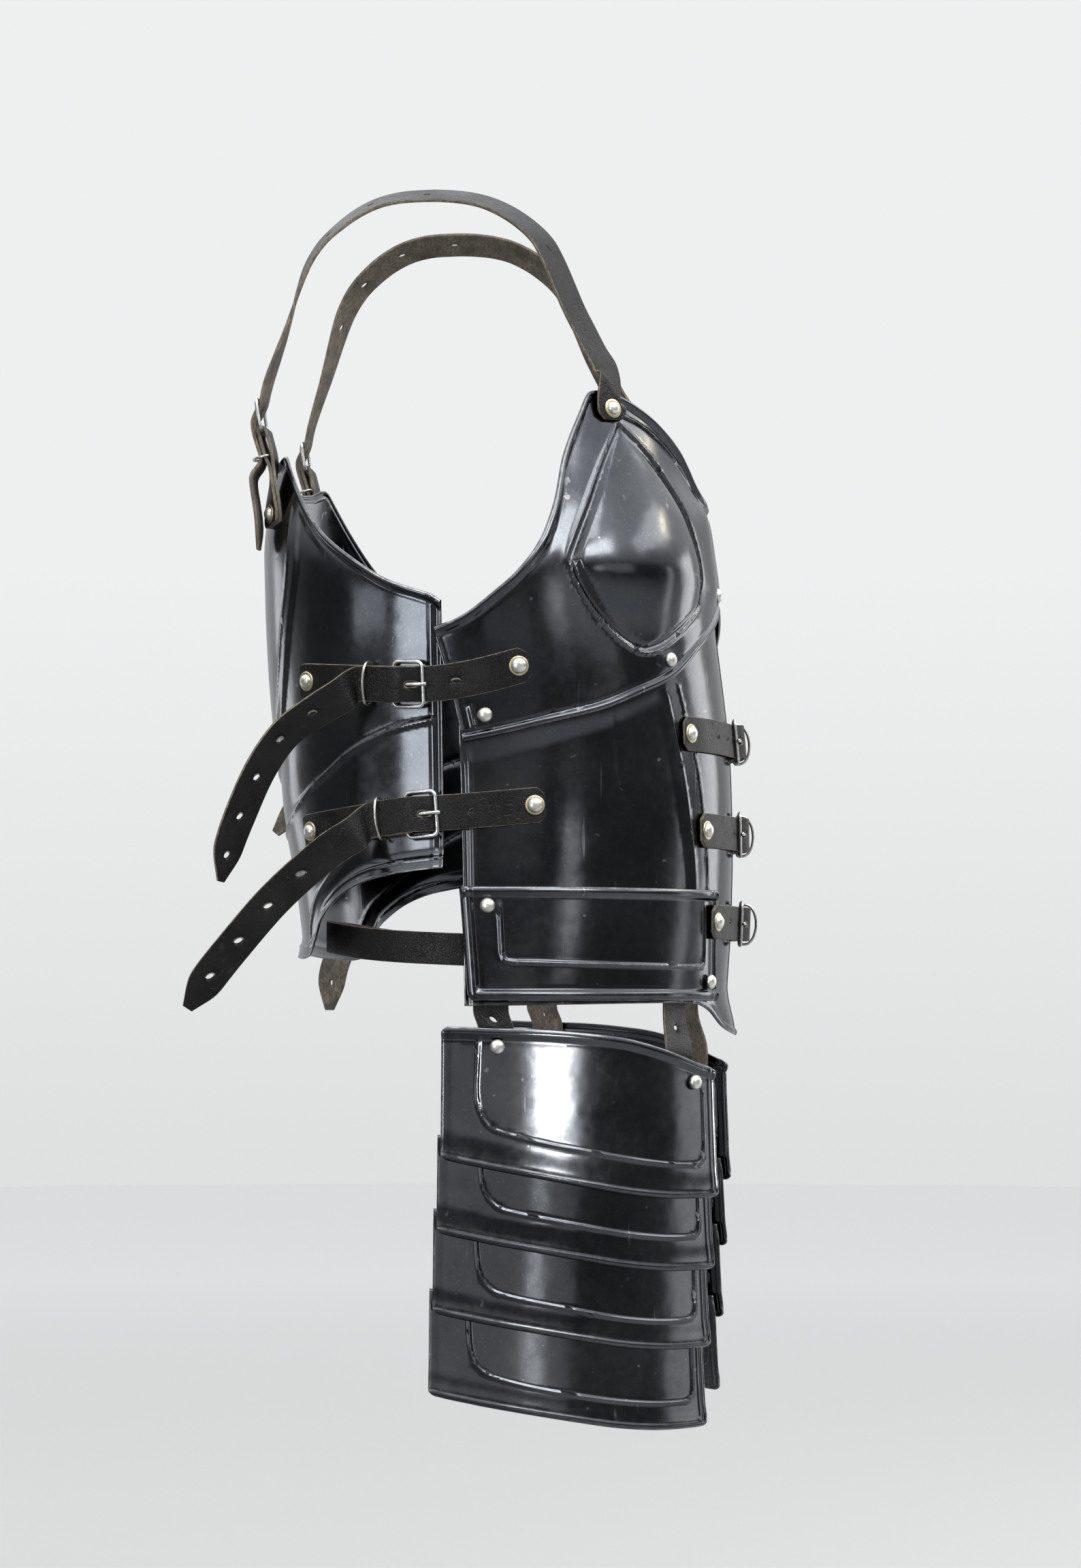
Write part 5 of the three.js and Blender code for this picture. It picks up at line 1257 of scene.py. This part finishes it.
# Hangers of the thigh guards
def hanger(turn, trunk_turn, top, hand):
    """Stations of a leather from inside the trunk's hem down behind the lames."""
    across = np.array([-math.cos(math.radians(turn)), math.sin(math.radians(turn)), 0])
    trunk_across = np.cross(trunk_normal(trunk_turn, top), (0, 0, 1))
    inside = -CLEAR * 2 - SHEET - LEATHER / 2 - .8
    stations = [(on_trunk(trunk_turn, up, inside), trunk_across, STRAP_WIDE) for up in (top, .083)]
    part = (turn - LAME_BACK) / (LAME_FRONT - LAME_BACK)
    drop, crown = float(through(LAME_PARTS, LAME_DROPS, part)), float(through(LAME_PARTS, LAME_CROWNS, part))
    for number, (hem_corner, tall) in enumerate(LAMES):
        high = hem_corner + tall - LAME_DROP * (crown if number == 0 else drop)
        for down in ((2, 30) if number == 0 else (-2, 10)):
            at = on_skin(lame_skin(number), np.array([turn]), np.array([high - down]),
                         np.array([-2 * SHEET - CLEAR - LEATHER / 2 - .8]))[0]
            stations.append((at, across, STRAP_WIDE))
    return [(at * (hand, 1, 1), side * (hand, 1, 1), wide) for at, side, wide in stations]


for hand, hand_name in ((1, "right"), (-1, "left")):
    for place_name, turn, trunk_turn, top in (("back", 82.5, 81, .25), ("front", 43.5, 33, .16)):
        stations = hanger(turn, trunk_turn, top, hand)
        leather(f"leather_hanger_{hand_name}_{place_name}", [f"hanger_{hand_name}_{place_name}"], stations,
                [76.5 if place_name == "back" else 46], flip=hand > 0)

# Waist belt
BELT_WIDE = 20.0
BELT = [(60, .166, -.024), (68, .168, -.026), (75, .17, -.042), (90, .174, -.046), (106, .178, -.05),
        (122, .182, -.062), (138, .186, -.078), (152, .188, -.092), (166, .19, -.102), (180, .19, -.105)]
belt = [(on_trunk(turn, up, lift * HALF_WIDTH), np.array([0, 0, 1.0]), BELT_WIDE) for turn, up, lift in BELT]
belt += [(at * (-1, 1, 1), side, wide) for at, side, wide in belt[-2::-1]]
leather("leather_waist", ["waist_belt"], belt, flip=True)

# Floor, light and camera, in metres
FLOOR_LEVEL, FLOOR_RADIUS = -1.12, 8.2
floor_mesh = bpy.data.meshes.new("floor")
bm = bmesh.new()
bmesh.ops.create_circle(bm, cap_ends=True, segments=96, radius=FLOOR_RADIUS,
                        matrix=Matrix.Translation((0, 0, FLOOR_LEVEL)))
bm.to_mesh(floor_mesh)
bm.free()
floor = bpy.data.objects.new("floor", floor_mesh)
bpy.context.scene.collection.objects.link(floor)
floor_with_painted_shade, floor_tree, floor_shader = new_material("pale_floor")
# The floor's colour is painted shade: darker near the middle and pale from 5 m out, to take down the softboxes'
# light on the floor around the part.
painted_shade_distance = node(floor_tree, "ShaderNodeVectorMath", operation="LENGTH")
floor_tree.links.new(node(floor_tree, "ShaderNodeTexCoord").outputs["Object"], painted_shade_distance.inputs[0])
floor_tree.links.new(blended(floor_tree, banded(floor_tree, painted_shade_distance.outputs["Value"], 1.5, 5),
                             (.445, .45, .45), (.69, .695, .695)), floor_shader.inputs["Base Color"])
floor_shader.inputs["Roughness"].default_value = .7
floor_mesh.materials.append(floor_with_painted_shade)
floor.visible_glossy = False

# The room: what the camera sees is plain, and what the steel mirrors has a wall, a ceiling and a floor.
world = bpy.data.worlds.new("studio")
bpy.context.scene.world = world
world.use_nodes = True
sky = world.node_tree
sky.nodes.clear()
toward = node(sky, "ShaderNodeSeparateXYZ")
sky.links.new(node(sky, "ShaderNodeTexCoord").outputs["Generated"], toward.inputs[0])
wall_glow = worked(sky, "MULTIPLY", banded(sky, toward.outputs["X"], .2, .8, 0, .42),
                   banded(sky, toward.outputs["Z"], -.35, -.05, .15, 1))
ceiling_glow = banded(sky, toward.outputs["Z"], .24, .65, 0, 1.85)
floor_glow = worked(sky, "MULTIPLY", banded(sky, toward.outputs["Z"], -.04, -.22, 0, .7),
                    banded(sky, toward.outputs["Y"], .1, -.6, .25, 1))
room_glow = worked(sky, "ADD", worked(sky, "ADD", wall_glow, ceiling_glow),
                   worked(sky, "ADD", floor_glow, .14))
seen = node(sky, "ShaderNodeBackground", in_Color=(.80, .81, .815, 1))
mirrored = node(sky, "ShaderNodeBackground", in_Color=(.955, .975, 1.0, 1))
sky.links.new(room_glow, mirrored.inputs["Strength"])
sky.links.new(banded(sky, toward.outputs["Z"], -.05, .12, .92, 1.07), seen.inputs["Strength"])
pick = node(sky, "ShaderNodeMixShader")
rays = node(sky, "ShaderNodeLightPath")
sky_out = node(sky, "ShaderNodeOutputWorld")
sky.links.new(rays.outputs["Is Glossy Ray"], pick.inputs[0])
sky.links.new(seen.outputs[0], pick.inputs[1])
sky.links.new(mirrored.outputs[0], pick.inputs[2])
sky.links.new(pick.outputs[0], sky_out.inputs[0])


def softbox(name, turn, reach, height, wide, tall, glow, colour, aim):
    """A lit panel that faces the part; turn is from the wearer's right toward the front."""
    lamp = bpy.data.lights.new(name, "AREA")
    lamp.shape = "RECTANGLE"
    lamp.size, lamp.size_y = wide, tall
    lamp.energy = glow * math.pi * wide * tall
    lamp.color = colour
    box = bpy.data.objects.new(name, lamp)
    bpy.context.scene.collection.objects.link(box)
    angle = math.radians(turn)
    box.location = (-reach * math.cos(angle), -reach * math.sin(angle), height)
    box.rotation_euler = (Vector((0, 0, aim)) - box.location).to_track_quat("-Z", "Y").to_euler()
    box.visible_camera = False
    return box


def lights_only(box, wanted):
    """Keeps a panel's light to the floor and the pieces whose name is wanted, as a studio flag does."""
    lit = bpy.data.collections.new(f"{box.name}_lit")
    for piece in bpy.data.objects:
        if piece.type == "MESH" and (piece is floor or wanted(piece.name)):
            lit.objects.link(piece)
    box.light_linking.receiver_collection = lit


def on_guards(name):
    return name.startswith("guard_")


def off_guards(name):
    return not on_guards(name)


def on_top_lames(name):
    return name in ("guard_right_1", "guard_left_1")


def on_chest(name):
    return name == "chest"


WHITE, CREAM, WARM = (1, .995, .985), (1, .995, .98), (1, .87, .62)
COOL, PALE_COOL = (.95, .975, 1), (.97, .985, 1)
# Panels: name, turn, reach, height, wide, tall, glow, colour, height that it faces, pieces that it lights.
PANELS = [
    ("thigh_strip", 30, 1.8, -.48, .46, .11, 58, WHITE, -.5, on_top_lames),
    ("thigh_low", 27, 2.6, -.7, .26, .4, 4.4, WHITE, -.7, on_guards),
    ("thigh_soft", 12, 2.6, -.62, 3.0, .6, .85, WHITE, -.6, on_guards),
    ("thigh_front", 95, 2.6, -.66, 1.0, .5, 2.0, WHITE, -.65, on_guards),
    ("thigh_back", -47, 2.6, -.72, 1.0, .6, 1.6, PALE_COOL, -.6, on_guards),
    ("back_side", -19, 2.8, -.28, .8, .9, 8, COOL, -.3, off_guards),
    ("back_fill", -44, 2.8, -.1, 1.0, .46, 2.2, COOL, -.3, off_guards),
    ("side_fill", 20, 2.6, -.23, 1.0, .42, .35, WHITE, -.2, off_guards),
    ("key", 45, 2.6, .03, .36, .34, 2.9, WHITE, -.2, off_guards),
    ("cup_fill", 62, 2.6, .12, 1.0, .6, .8, WHITE, -.2, on_chest),
    ("high_key", 45, 2.1, 1.35, 1.35, .7, 10.5, WHITE, -.25, None),
    ("top_key", 15, 1.1, 1.78, 1.9, .7, 6, WHITE, -.25, None),
    ("high_front", 100, 2.3, 1.22, 1.4, .5, 3.4, WHITE, -.25, None),
    ("warm_lamp", 117, 2.2, 1.03, .2, .2, 17, WARM, -.22, None),
    ("front_strip", 106, 2.6, -.45, .22, 1.7, 2.2, CREAM, -.4, None),
    ("far_front", 130, 2.7, -.05, .8, 1.3, 3.4, CREAM, -.3, None),
    ("far_back", -128, 2.7, -.4, .6, 1.2, 2, COOL, -.45, None),
]
for *panel, wanted in PANELS:
    box = softbox(*panel)
    if wanted:
        lights_only(box, wanted)

VIEW_TURN, VIEW_BACK, VIEW_RIGHT, VIEW_HEIGHT = math.radians(5.5), 2.25, .0265, -.505
ahead = Vector((math.cos(VIEW_TURN), math.sin(VIEW_TURN), 0))
right_way = Vector((math.sin(VIEW_TURN), -math.cos(VIEW_TURN), 0))
lens = bpy.data.cameras.new("camera")
lens.sensor_width = 36
lens.lens = 78.16
lens.shift_y = .127
lens.clip_start = .05
camera = bpy.data.objects.new("camera", lens)
bpy.context.scene.collection.objects.link(camera)
camera.location = ahead * -VIEW_BACK + right_way * VIEW_RIGHT + Vector((0, 0, VIEW_HEIGHT))
camera.rotation_euler = ahead.to_track_quat("-Z", "Y").to_euler()
bpy.context.scene.camera = camera
bpy.context.scene.view_settings.view_transform = "Standard"
